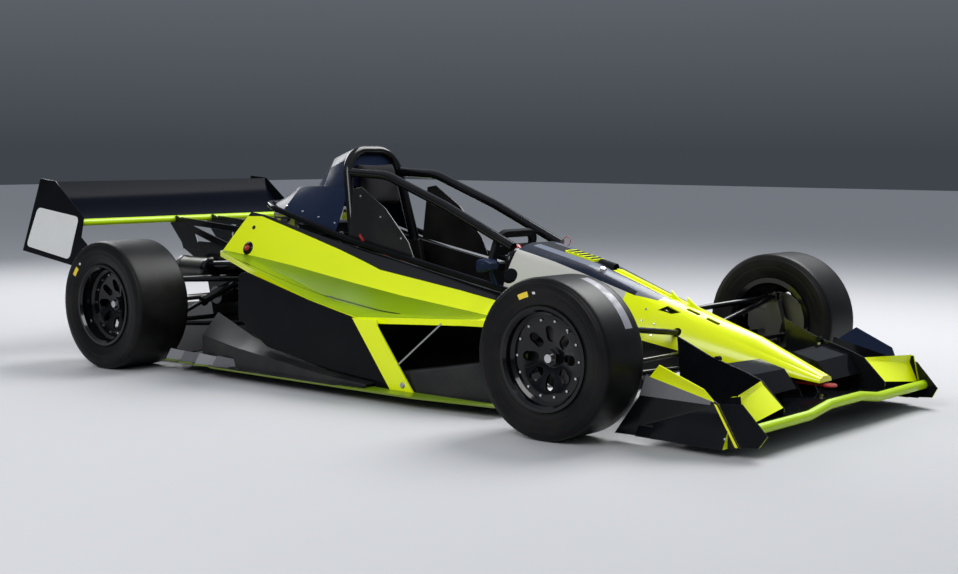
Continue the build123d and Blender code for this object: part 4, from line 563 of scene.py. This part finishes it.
def bolt_group():
    # button heads on the points of a mesh, each turned to the point's own outward direction
    tree = bpy.data.node_groups.new("bolt_heads", "GeometryNodeTree")
    sockets(tree, "INPUT", "Geometry", "Geometry")
    sockets(tree, "INPUT", "Float", "Head Radius", "Head Height")
    sockets(tree, "INPUT", "Material", "Finish")
    sockets(tree, "OUTPUT", "Geometry", "Geometry")
    given = added(tree, "NodeGroupInput").outputs
    outward = added(tree, "GeometryNodeInputNamedAttribute", {"Name": "outward"}, data_type="FLOAT_VECTOR")
    turned = added(tree, "FunctionNodeAlignRotationToVector", {
        "Vector": outward.outputs["Attribute"]}, axis="Z")
    shoulder = reckoned(tree, "MULTIPLY", given["Head Radius"], HEAD_TAPER)
    head = added(tree, "GeometryNodeMeshCone", {
        "Vertices": HEAD_SIDES, "Radius Bottom": given["Head Radius"],
        "Radius Top": shoulder, "Depth": given["Head Height"]})
    seated = added(tree, "GeometryNodeInstanceOnPoints", {
        "Points": given["Geometry"], "Instance": head.outputs["Mesh"],
        "Rotation": turned.outputs["Rotation"]})
    real = added(tree, "GeometryNodeRealizeInstances", {"Geometry": seated.outputs["Instances"]})
    painted = added(tree, "GeometryNodeSetMaterial", {
        "Geometry": real.outputs["Geometry"], "Material": given["Finish"]})
    added(tree, "NodeGroupOutput", {"Geometry": painted.outputs["Geometry"]})
    return tree


bolt_heads = bolt_group()


def round_axle(hub, sign, outward, radius, angle):
    # a point round a wheel's axle; no angle is forward and a quarter turn is up
    return hub + Vector((radius * math.cos(angle), sign * outward, radius * math.sin(angle)))


def bolts(name, seats, head, finish=bright_metal, body="chassis"):
    # one mesh of bolt heads; seats are places and outward directions
    points = bpy.data.meshes.new("seats")
    points.from_pydata([place for place, _ in seats], [], [])
    outward = points.attributes.new("outward", "FLOAT_VECTOR", "POINT")
    outward.data.foreach_set("vector", [value for _, direction in seats for value in direction])
    holder = placed("seats", points)
    heads = holder.modifiers.new("heads", "NODES")
    heads.node_group = bolt_heads
    values = {"Head Radius": head[0], "Head Height": head[1], "Finish": finish}
    for socket in bolt_heads.interface.items_tree:
        if socket.in_out == "INPUT" and socket.name in values:
            heads[socket.identifier] = values[socket.name]
    holder.update_tag()
    mesh = bpy.data.meshes.new_from_object(holder.evaluated_get(bpy.context.evaluated_depsgraph_get()))
    bpy.data.objects.remove(holder)
    return piece(name, mesh, None, body)


WHEELS = []
for end, rim_half, tyre_half, tyre_radius in WHEEL_SIZES:
    for side, sign in SIDES:
        low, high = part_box(f"wheel_{end}_{side}")
        hub = Vector((Vector(low) + Vector(high)) / 2)
        WHEELS.append((end, side, sign, hub, rim_half, tyre_half, tyre_radius))
        finished(f"wheel_{end}_{side}", wheel_black, edge=0.0015)
        body = BODY_OF[f"wheel_{end}_{side}"]
        outward = Vector((0, sign, 0))
        seats = []
        for number in range(WHEEL_BOLTS):
            angle = math.tau * number / WHEEL_BOLTS
            seats.append((round_axle(hub, sign, BOLT_FACE - BOLT_SINK, BOLT_CIRCLE, angle), outward))
        bolts(f"wheel_bolts_{end}_{side}", seats, BOLT_HEAD, body=body)
        bolts(f"wheel_nut_{end}_{side}", [(hub + outward * NUT_FACE, outward)], NUT_HEAD, body=body)
        valve = hub + outward * (BOLT_FACE + VALVE_OUT) + Vector((VALVE_REACH, 0, VALVE_REACH))
        valve_way = Vector((-VALVE_LEAN, sign, -VALVE_LEAN)).normalized()
        bolts(f"wheel_valve_{end}_{side}", [(valve, valve_way)], VALVE_HEAD, body=body)

# Tyres: slicks with a flat tread, a ridged shoulder and scuffed sidewalls.
# Treadless racing rubber, faintly streaked round the tread and ringed on the sidewall.
TYRE_TURNS = 112
BEAD_RADIUS = 0.1654
BEAD_TUCK = 0.0063
# columns: distance in from the sidewall, distance in from the tread
SHOULDER = (
    (0.0240, 0.0001), (0.0160, 0.0008), (0.0105, 0.0026), (0.0068, 0.0052), (0.0048, 0.0082),
    (0.0050, 0.0092), (0.0036, 0.0102), (0.0024, 0.0134), (0.0028, 0.0144), (0.0012, 0.0156),
    (0.0002, 0.0260), (0.0000, 0.0360), (0.0008, 0.0480), (0.0012, 0.0490), (0.0010, 0.0502),
    (0.0026, 0.0620), (0.0060, 0.0730))
# columns: distance out from the bead, radius
BEAD = ((0.0050, 0.1925), (0.0022, 0.1880), (0.0026, 0.1862), (0.0, 0.1838), (0.0, BEAD_RADIUS))
TREAD_SHARES = (-0.6, -0.3, 0.0, 0.3, 0.6)
# streaks along and across the rubber, for one turn and one metre
STREAK_SCALE = (7.0, 260.0, 1.0)
RUBBER_SHADES = ((0.004, 0.004, 0.0045, 1), (0.015, 0.015, 0.016, 1))
# columns: distance in from the rim's edge and radius, then distances in from the sidewall and the tread
LINER_AT_RIM = ((0.024, BEAD_RADIUS), (0.018, 0.190))
LINER_AT_TREAD = ((0.014, 0.045), (0.028, 0.012))


def lengths_along(points):
    # how far along their path each of the points lies
    return [0.0, *accumulate(map(math.dist, points, points[1:]))]


def spun(profile, hub, sign, turns, closed=False):
    # profile points are distance outward from the hub's middle plane, and radius; with its own UV map
    shape = bmesh.new()
    rings = []
    for outward, radius in profile:
        ring = [round_axle(hub, sign, outward, radius, math.tau * turn / turns) for turn in range(turns)]
        rings.append([shape.verts.new(point) for point in ring])
    around = shape.loops.layers.uv.new("around")
    lengths = lengths_along(profile)
    lengths.append(lengths[-1])
    for span in range(len(profile) if closed else len(profile) - 1):
        first, second = rings[span], rings[(span + 1) % len(profile)]
        for turn in range(turns):
            following = (turn + 1) % turns
            face = shape.faces.new((first[turn], first[following], second[following], second[turn]))
            face.smooth = True
            places = ((turn, span), (turn + 1, span), (turn + 1, span + 1), (turn, span + 1))
            for loop, (u, v) in zip(face.loops, places):
                loop[around].uv = (u / turns, lengths[v])
    return meshed(shape, outwards=True)


def tyre_profile(rim_half, half, radius):
    # from the inner bead over the tread to the outer bead, then back along the liner
    seat = rim_half - BEAD_TUCK
    outside = [(half - inward, radius - drop) for inward, drop in SHOULDER]
    outside += [(seat + out, bead_radius) for out, bead_radius in BEAD]
    tread = [(half * share, radius) for share in TREAD_SHARES]
    liner = [(rim_half - inward, liner_radius) for inward, liner_radius in LINER_AT_RIM]
    liner += [(half - inward, radius - drop) for inward, drop in LINER_AT_TREAD]
    mirrored = [[(-a, r) for a, r in reversed(half_profile)] for half_profile in (outside, liner)]
    return mirrored[0] + tread + outside + liner + mirrored[1]


def rubber():
    # black rubber, greyer in streaks that run round the tyre
    finish = filmed("tyre_rubber", (0.010, 0.010, 0.011, 1), 0.40, dust=0.05, grain=500.0, bump=0.08,
                    specular=0.14)
    tree = finish.node_tree
    chart = added(tree, "ShaderNodeUVMap", uv_map="around")
    stretch = added(tree, "ShaderNodeMapping", {"Vector": chart.outputs["UV"], "Scale": STREAK_SCALE})
    streaks = added(tree, "ShaderNodeTexNoise", {
        "Vector": stretch.outputs["Vector"], "Scale": 1.0, "Detail": 4.0})
    shade = added(tree, "ShaderNodeMapRange", {
        "Value": streaks.outputs["Fac"], "From Min": 0.45, "From Max": 0.8, "To Max": 0.55})
    connected(tree, tree.nodes["film"], {"Colour": mixed(tree, shade.outputs["Result"], *RUBBER_SHADES)})
    return finish


tyre_rubber = rubber()
for end, side, sign, hub, rim_half, tyre_half, tyre_radius in WHEELS:
    slick = spun(tyre_profile(rim_half, tyre_half, tyre_radius), hub, sign, TYRE_TURNS, closed=True)
    tyre = piece(f"slick_{end}_{side}", slick, tyre_rubber, BODY_OF[f"tyre_{end}_{side}"])
    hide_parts(f"tyre_{end}_{side}")

# Marks on the tyres: a yellow dash and a white dot on each sidewall, and a pale film along one tread.
# Thin moulded or glued marks, under a millimetre proud of the rubber.
yellow_mark = filmed("yellow_mark", (0.85, 0.62, 0.04, 1), 0.5)
white_mark = filmed("white_mark", (0.70, 0.70, 0.68, 1), 0.5)
film_strip = filmed("film_strip", (0.26, 0.26, 0.30, 1), 0.35, dust=0.5, patch=40.0)
MARK_TURN = {"front": 0, "rear": 33}
# columns: name, finish, distances in from the tread, first and last angle in degrees
WALL_MARKS = (
    ("yellow_dash", yellow_mark, 0.0440, 0.0620, 104, 115),
    ("white_dot", white_mark, 0.0480, 0.0570, 96, 99))
MARK_MIDDLE = 0.0500
MARK_PROUD = (-0.0020, -0.0003, 0.0002)
MARK_STEPS, FILM_STEPS = 6, 24
FILM_ACROSS = (-0.062, -0.042, -0.022)
FILM_ANGLES = (24, 76)
FILM_PROUD = 0.0003


def skinned(shape, rows, smooth=True):
    # faces between neighbouring rows of points
    for first, second in zip(rows, rows[1:]):
        for index in range(len(first) - 1):
            corners = (first[index], first[index + 1], second[index + 1], second[index])
            shape.faces.new(corners).smooth = smooth


def wall_patch(hub, sign, section, start, stop, steps):
    # a patch that lies on a ring of the wheel between two angles in degrees
    shape = bmesh.new()
    rows = []
    for step in range(steps + 1):
        angle = math.radians(start + (stop - start) * step / steps)
        points = [round_axle(hub, sign, outward, radius, angle) for outward, radius in section]
        rows.append([shape.verts.new(point) for point in points])
    skinned(shape, rows)
    return meshed(shape)


for end, side, sign, hub, rim_half, tyre_half, tyre_radius in WHEELS:
    body = BODY_OF[f"tyre_{end}_{side}"]
    for name, finish, low, high, start, stop in WALL_MARKS:
        inward = (high, MARK_MIDDLE, low)
        section = [(tyre_half + proud, tyre_radius - drop) for proud, drop in zip(MARK_PROUD, inward)]
        angles = (start + MARK_TURN[end], stop + MARK_TURN[end])
        patch = wall_patch(hub, sign, section, *angles, MARK_STEPS)
        piece(f"{name}_{end}_{side}", patch, finish, body)
    if (end, side) == ("front", "right"):
        section = [(across, tyre_radius + FILM_PROUD) for across in FILM_ACROSS]
        film = wall_patch(hub, sign, section, *FILM_ANGLES, FILM_STEPS)
        piece("tread_film", film, film_strip, body)

# Seat, its quilted cover, the headrest and the steering wheel.
# A carbon shell under black cloth over foam, sewn across into channels; the headrest is a domed pad.
# The steering wheel has a padded grip, a red release at its middle and small red buttons.
cloth = filmed("black_cloth", (0.009, 0.009, 0.011, 1), 0.85, dust=0.06, grain=700.0, bump=0.35, specular=0.2)
SEAT_PATH = (
    (rear(945), 0.545), (rear(1017), 0.222), (rear(1060), 0.186), (rear(1175), 0.128), (rear(1385), 0.152))
SEAT_HALF_WIDTH, SEAT_THICK, SEAT_CHANNELS, SEAT_BOLSTER = 0.113, 0.018, 9, 0.10
BOLSTER_FROM = 0.6
SEAM_WIDTH, SEAM_DEPTH = 0.07, 0.30
END_STEPS, END_RISE = 4, 0.4
BEND_SHARE = 0.15
COVER_LIFT, BACKING_LIFT = 0.001, 0.0006
HEADREST_LEAN = 0.2244
SIDE_PULL = 0.03
PAD_BACK = 0.004
PAD_RIM_SHARE = 0.35
GRIP_FRONT_X = front(-770)
COLUMN_AXIS = Vector((-0.9460, 0.0, 0.3240))
COLUMN_UP = Vector((0.3240, 0.0, 0.9460))
WHEEL_CENTRE = Vector((front(-810), 0.0, 0.560))
RELEASE_DEPTH, RELEASE_HEAD = 0.010, (0.030, 0.022)
BUTTON_DEPTH, BUTTON_HEAD = 0.0225, (0.0055, 0.006)
# columns: distance across and up the wheel's face
BUTTONS = (
    (-0.085, 0.008), (-0.062, 0.008), (0.062, 0.008), (0.085, 0.008), (-0.074, -0.010), (0.074, -0.010))


def quilted(path, half_width, thickness, channels, bolster, steps=96, across=28):
    # a padded cover along a path of x, z points, sewn across into channels, with raised side bolsters
    points = [Vector((x, 0, z)) for x, z in path]
    runs = [(second - first).normalized() for first, second in zip(points, points[1:])]
    lengths = lengths_along(points)
    shape = bmesh.new()
    upper, lower = [], []
    for step in range(steps + 1):
        along = lengths[-1] * step / steps
        span = max(index for index in range(len(runs)) if lengths[index] <= along + 1e-9)
        share = (along - lengths[span]) / (lengths[span + 1] - lengths[span])
        place = points[span].lerp(points[span + 1], share)
        run = runs[span]
        for beside, near in ((span - 1, share), (span + 1, 1 - share)):
            if near < BEND_SHARE and 0 <= beside < len(runs):
                run = runs[beside].lerp(run, 0.5 + near / BEND_SHARE / 2).normalized()
        lift = Vector((-run.z, 0, run.x))
        phase = (step / steps * channels) % 1.0
        seam = math.exp(-(min(phase, 1 - phase) / SEAM_WIDTH) ** 2)
        end_pinch = min(1.0, (min(step, steps - step) + END_RISE) / END_STEPS) ** 0.5
        row_up, row_low = [], []
        for column in range(across + 1):
            v = column / across * 2 - 1
            crown = (1 - abs(v) ** 8) ** 0.5
            height = thickness * crown * end_pinch * (1 - SEAM_DEPTH * seam)
            height += bolster * max(0.0, abs(v) - BOLSTER_FROM) ** 2 * crown
            spot = place + Vector((0, v * half_width, 0))
            row_up.append(shape.verts.new(spot + lift * (height + COVER_LIFT)))
            row_low.append(shape.verts.new(spot + lift * BACKING_LIFT))
        upper.append(row_up)
        lower.append(row_low)
    skinned(shape, upper)
    skinned(shape, lower)
    for index in (0, -1):
        skinned(shape, (upper[index], lower[index]))
        skinned(shape, ([row[index] for row in upper], [row[index] for row in lower]))
    return meshed(shape, outwards=True)


def cushion(low, high, lean, count=28):
    # a leaning pad between two corners of a box, domed in front, pulled in along its sides
    width, height, depth = high[1] - low[1], high[2] - low[2], high[0] - low[0]
    shape = bmesh.new()
    rims = []
    for front_face in (True, False):
        grid = []
        for row in range(count + 1):
            line = []
            for column in range(count + 1):
                u, v = column / count * 2 - 1, row / count * 2 - 1
                pull = 1 - SIDE_PULL * (1 - v * v) if abs(u) == 1 else 1.0
                drop = 1 - SIDE_PULL * (1 - u * u) if abs(v) == 1 else 1.0
                dome = ((1 - abs(u) ** 6) * (1 - abs(v) ** 6)) ** 0.45
                z = low[2] + height * (0.5 + 0.5 * v * drop)
                y = (low[1] + high[1]) / 2 + width * 0.5 * u * pull
                x = low[0] + (high[2] - z) * lean + PAD_BACK
                if front_face:
                    x += (depth - height * lean - PAD_BACK) * (PAD_RIM_SHARE + (1 - PAD_RIM_SHARE) * dome)
                line.append(shape.verts.new((x, y, z)))
            grid.append(line)
        skinned(shape, grid)
        sides = ([line[-1] for line in grid], grid[-1][::-1], [line[0] for line in grid][::-1])
        rims.append(grid[0] + [point for line in sides for point in line[1:]])
    skinned(shape, rims)
    return meshed(shape, outwards=True)


def wheel_side(centre, normal):
    # a padded grip on a black steel column
    return 1 if centre.x > GRIP_FRONT_X else 0


finished("seat", carbon, edge=0.006)
cover = quilted(SEAT_PATH, SEAT_HALF_WIDTH, SEAT_THICK, SEAT_CHANNELS, SEAT_BOLSTER)
seat_cover = piece("seat_cover", cover, cloth)
headrest_pad = cushion(*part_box("headrest_pad"), HEADREST_LEAN)
headrest = piece("headrest_cushion", headrest_pad, cloth)
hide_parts("headrest_pad")
finished("steering_wheel", cloth, black_steel, edge=0.003, choose=wheel_side)
release = [(WHEEL_CENTRE - COLUMN_AXIS * RELEASE_DEPTH, -COLUMN_AXIS)]
bolts("wheel_release", release, RELEASE_HEAD, red_paint, "steering")
buttons = []
for across, rise in BUTTONS:
    spot = WHEEL_CENTRE + COLUMN_AXIS * BUTTON_DEPTH + COLUMN_UP * rise + Vector((0, across, 0))
    buttons.append((spot, COLUMN_AXIS))
bolts("wheel_buttons", buttons, BUTTON_HEAD, red_paint, "steering")

# Boards on the rear wing's end plates.
# Thin plain white boards with rounded corners, stuck to each plate's outer face.
white_plate = filmed("white_plate", (0.78, 0.78, 0.76, 1), 0.35, dust=0.05)
# columns: station from the rear axle and height, in millimetres
NUMBER_PLATE = ((-749, 686), (-417, 649), (-501, 447), (-855, 496))
PLATE_FACE = abs(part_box("rear_wing_plates")[0][1])
PLATE_CORNER = 0.030
PLATE_THICK = 0.0008


def rounded_outline(corners, radius, steps=6):
    # a polygon's outline with each corner rounded
    outline = []
    for index, corner in enumerate(corners):
        before = (corners[index - 1] - corner).normalized()
        after = (corners[(index + 1) % len(corners)] - corner).normalized()
        start, stop = corner + before * radius, corner + after * radius
        for step in range(steps + 1):
            share = step / steps
            outline.append(start * (1 - share) ** 2 + corner * 2 * share * (1 - share) + stop * share ** 2)
    return outline


def slab(outline, thickness, direction):
    # a thin board from an outline, grown along direction
    shape = bmesh.new()
    face = shape.faces.new([shape.verts.new(point) for point in outline])
    grown = bmesh.ops.extrude_face_region(shape, geom=[face])
    moved = [element for element in grown["geom"] if isinstance(element, bmesh.types.BMVert)]
    bmesh.ops.translate(shape, verts=moved, vec=direction * thickness)
    return meshed(shape, outwards=True)


for side, sign in SIDES:
    corners = [Vector((rear(x), sign * PLATE_FACE, z / 1000)) for x, z in NUMBER_PLATE]
    board = slab(rounded_outline(corners, PLATE_CORNER), PLATE_THICK, Vector((0, sign, 0)))
    piece(f"number_plate_{side}", board, white_plate)

# Fasteners along the panels' edges and through the legs' feet.
# Bright button heads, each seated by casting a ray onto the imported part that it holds.
SEAT_SINK = 0.0002
RAY_START = 1.2
surfaces = {}
# columns: node, first x, first z, last x, last z, number of bolts, seen from the side
SIDE_ROWS = (
    ("front_wing_plates", front(600), 0.060, front(600), 0.060, 1),
    ("front_cowl", front(-600), 0.440, front(-120), 0.310, 4),
    ("front_cowl", front(-85), 0.300, front(-85), 0.380, 3),
    ("nose_cone", front(-35), 0.290, front(-35), 0.330, 2),
    ("engine_cover", rear(520), 0.715, rear(830), 0.650, 4),
    ("head_panels", rear(1005), 0.770, rear(1240), 0.600, 3),
)
FOOT_BOLT = (rear(1612), 0.071)
PANEL_HEAD, FOOT_HEAD = (0.0052, 0.0022), (0.013, 0.005)


def seat_on(node_name, start, direction):
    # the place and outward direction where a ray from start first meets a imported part
    if node_name not in surfaces:
        mesh = nodes[node_name].data
        faces = [face.vertices for face in mesh.polygons]
        surfaces[node_name] = BVHTree.FromPolygons([point.co for point in mesh.vertices], faces)
    place, normal, _, _ = surfaces[node_name].ray_cast(Vector(start), Vector(direction))
    outward = normal if normal.dot(Vector(direction)) < 0 else -normal
    return place - outward * SEAT_SINK, outward


def seat_beside(node_name, x, z, sign):
    # the seat met from one side of the car
    return seat_on(node_name, (x, sign * RAY_START, z), (0, -sign, 0))


seats = []
for _, sign in SIDES:
    for node_name, first_x, first_z, last_x, last_z, count in SIDE_ROWS:
        for number in range(count):
            share = number / max(1, count - 1)
            x, z = first_x + (last_x - first_x) * share, first_z + (last_z - first_z) * share
            seats.append(seat_beside(node_name, x, z, sign))
bolts("panel_bolts", seats, PANEL_HEAD)
foot_seats = [seat_beside("pod_legs", *FOOT_BOLT, sign) for _, sign in SIDES]
bolts("leg_foot_bolts", foot_seats, FOOT_HEAD, stay_metal)

# Ports, pulls and small fittings set into the skins.
# Each band has a round port with a red plug and a catch; each head panel has a red safety pull.
# The cowl has a flat black disc at each side, slots across its hatch, a bright cap and a red wire ring.
PORT = (rear(403), 0.527)
# columns: name, node, x and z of its middle, head, finish, slot
FITTINGS = (
    ("port_ring", "body_sides", PORT, (0.031, 0.006), black_gloss, "black_gloss"),
    ("port_plug", "body_sides", PORT, (0.017, 0.012), red_paint, "red_paint"),
    ("port_pin", "body_sides", PORT, (0.006, 0.017), bright_metal, "disc_steel"),
    ("band_catch", "body_sides", (rear(407), 0.618), (0.010, 0.003), board_carbon, "carbon"),
    # a flat black disc on each side of the cowl
    ("cowl_dark_disc", "front_cowl", (front(-650), 0.478), (0.032, 0.004), black_gloss, "black_gloss"))
PULL = (rear(1013), 0.593)
PULL_ALONG, PULL_WIDE, PULL_THICK = Vector((0.011, 0, -0.014)), Vector((0.004, 0, 0.003)), 0.004
FIRST_SLOT, SLOT_PITCH, SLOT_COUNT = -513, 26, 5
# columns: millimetres forward and metres across, round one slot
SLOT_CORNERS = ((0, -0.033), (15, -0.033), (15, 0.033), (0, 0.033))
SLOT_LEAN = Vector((0.2, 0, 1)).normalized()
SLOT_LIFT, SLOT_THICK = Vector((0, 0, 0.0002)), 0.0008
CAP, CAP_HEAD = (front(-318), -0.068), (0.015, 0.010)
RING_FOOT = (rear(1817), 0.138)
RING_RADIUS, RING_WIRE, RING_SECTION, RING_TURNS = 0.018, 0.0016, 8, 32


def seat_above(node_name, x, y):
    # the seat met from above
    return seat_on(node_name, (x, y, RAY_START), (0, 0, -1))


for side, sign in SIDES:
    for name, node_name, spot, head, finish, slot_name in FITTINGS:
        seat = [seat_beside(node_name, *spot, sign)]
        bolts(f"{name}_{side}", seat, head, finish)
    middle, _ = seat_beside("head_panels", *PULL, sign)
    corners = [middle + PULL_ALONG * a + PULL_WIDE * b for a, b in ((-1, -1), (1, -1), (1, 1), (-1, 1))]
    pull = slab(corners, PULL_THICK, Vector((0, sign, 0)))
    piece(f"red_pull_{side}", pull, red_paint)
for number in range(SLOT_COUNT):
    start = FIRST_SLOT + SLOT_PITCH * number
    corners = []
    for shift, across in SLOT_CORNERS:
        corners.append(seat_above("front_cowl", front(start + shift), across)[0] + SLOT_LIFT)
    slot = slab(corners, SLOT_THICK, SLOT_LEAN)
    piece(f"hatch_slot_{number}", slot, black_gloss)
bolts("filler_cap", [seat_above("front_cowl", *CAP)], CAP_HEAD, stay_metal)
ring_middle = seat_above("front_cowl", *RING_FOOT)[0] + Vector((0, 0, RING_RADIUS))
ring_angles = [math.tau * turn / RING_SECTION for turn in range(RING_SECTION)]
ring_profile = [(RING_WIRE * math.cos(a), RING_RADIUS + RING_WIRE * math.sin(a)) for a in ring_angles]
ring = spun(ring_profile, ring_middle, 1, RING_TURNS, closed=True)
piece("red_ring", ring, red_paint)

# Strips on the front wing's end plates.
# A grey band along each plate's top, laid on as a thin slab, is painted reflection; a yellow strip down its
# bend is laid on as thin film.
painted_reflection_grey = filmed("painted_reflection_grey", (0.13, 0.13, 0.138, 1), 0.3, dust=0.05, coat=0.2)
yellow_film = filmed("yellow_film", (0.85, 0.85, 0.01, 1), 0.35, dust=0.03)
STRIP_FACE = 0.6599
STRIP_THICK = 0.0005
# columns: name, finish, slot, then millimetres from the front axle and height in metres
STRIPS = (
    # the grey top strip stands for a reflection on the plate's top: painted reflection, not a film
    ("top_strip", painted_reflection_grey, "silver_panel",
     ((286, 0.2265), (290, 0.2325), (538, 0.1755), (536, 0.160), (266, 0.162))),
    ("bend_strip", yellow_film, "lime_paint", ((549, 0.1665), (560, 0.1625), (640, 0.0345), (629, 0.0345))))
for side, sign in SIDES:
    for name, finish, slot_name, outline in STRIPS:
        corners = [Vector((front(x), sign * STRIP_FACE, z)) for x, z in outline]
        strip = slab(corners, STRIP_THICK, Vector((0, sign, 0)))
        piece(f"{name}_{side}", strip, finish)

# Harness: shoulder and lap straps in dark red webbing that meet at a bright buckle on the seat.
# Flat webbing follows the seat cover a few millimetres above it, with a sewn edge on each side.
webbing = filmed("webbing", (0.16, 0.008, 0.008, 1), 0.8, dust=0.08, grain=1400.0, bump=0.5)
BUCKLE, BUCKLE_HEAD = Vector((rear(1150), 0.0, 0.176)), (0.028, 0.020)
STRAP_THICK = 0.0024
CORNER_CUT, CORNER_CUTS = 0.25, 3
# columns: shares of the strap's width and thickness, round its section
STRAP_SECTION = (
    (-0.5, 0.5), (-0.44, 0.62), (-0.40, 0.5), (0.40, 0.5),
    (0.44, 0.62), (0.5, 0.5), (0.5, -0.5), (-0.5, -0.5))
# columns: x, distance from the car's middle, height
SHOULDER_ROUTE = (
    (rear(962), 0.052, 0.560), (rear(985), 0.052, 0.480), (rear(1046), 0.050, 0.236),
    (rear(1092), 0.040, 0.204), (BUCKLE.x - 0.022, 0.018, BUCKLE.z + 0.006))
LAP_ROUTE = (
    (rear(1090), 0.108, 0.226), (rear(1106), 0.092, 0.205), (rear(1130), 0.055, 0.183),
    (BUCKLE.x - 0.004, 0.020, BUCKLE.z + 0.003))
# columns: name, route, direction of the webbing's width, width
STRAPS = (
    ("shoulder", SHOULDER_ROUTE, Vector((0, 1, 0)), 0.046),
    ("lap", LAP_ROUTE, Vector((1, 0, 0.2)).normalized(), 0.044))


def strap(centres, across, width):
    # webbing through centre points, its width along across, with its corners cut until it bends smoothly
    points = centres
    for _ in range(CORNER_CUTS):
        cut = [points[0]]
        for first, second in zip(points, points[1:]):
            cut += [first.lerp(second, CORNER_CUT), second.lerp(first, CORNER_CUT)]
        points = cut + [points[-1]]
    shape = bmesh.new()
    rings = []
    for index, point in enumerate(points):
        run = (points[min(index + 1, len(points) - 1)] - points[max(index - 1, 0)]).normalized()
        lift = run.cross(across).normalized()
        side_way = lift.cross(run).normalized()
        corners = [point + side_way * width * a + lift * STRAP_THICK * b for a, b in STRAP_SECTION]
        ring = [shape.verts.new(corner) for corner in corners]
        rings.append(ring + ring[:1])
    skinned(shape, rings, smooth=False)
    shape.faces.new(rings[0][:-1])
    shape.faces.new(rings[-1][-2::-1])
    return meshed(shape, outwards=True)


for side, sign in SIDES:
    for name, route, across, width in STRAPS:
        belt = strap([Vector((x, sign * y, z)) for x, y, z in route], across, width)
        piece(f"{name}_strap_{side}", belt, webbing)
buckle_seat = [(BUCKLE, Vector((0.1, 0, 1)).normalized())]
bolts("harness_buckle", buckle_seat, BUCKLE_HEAD)
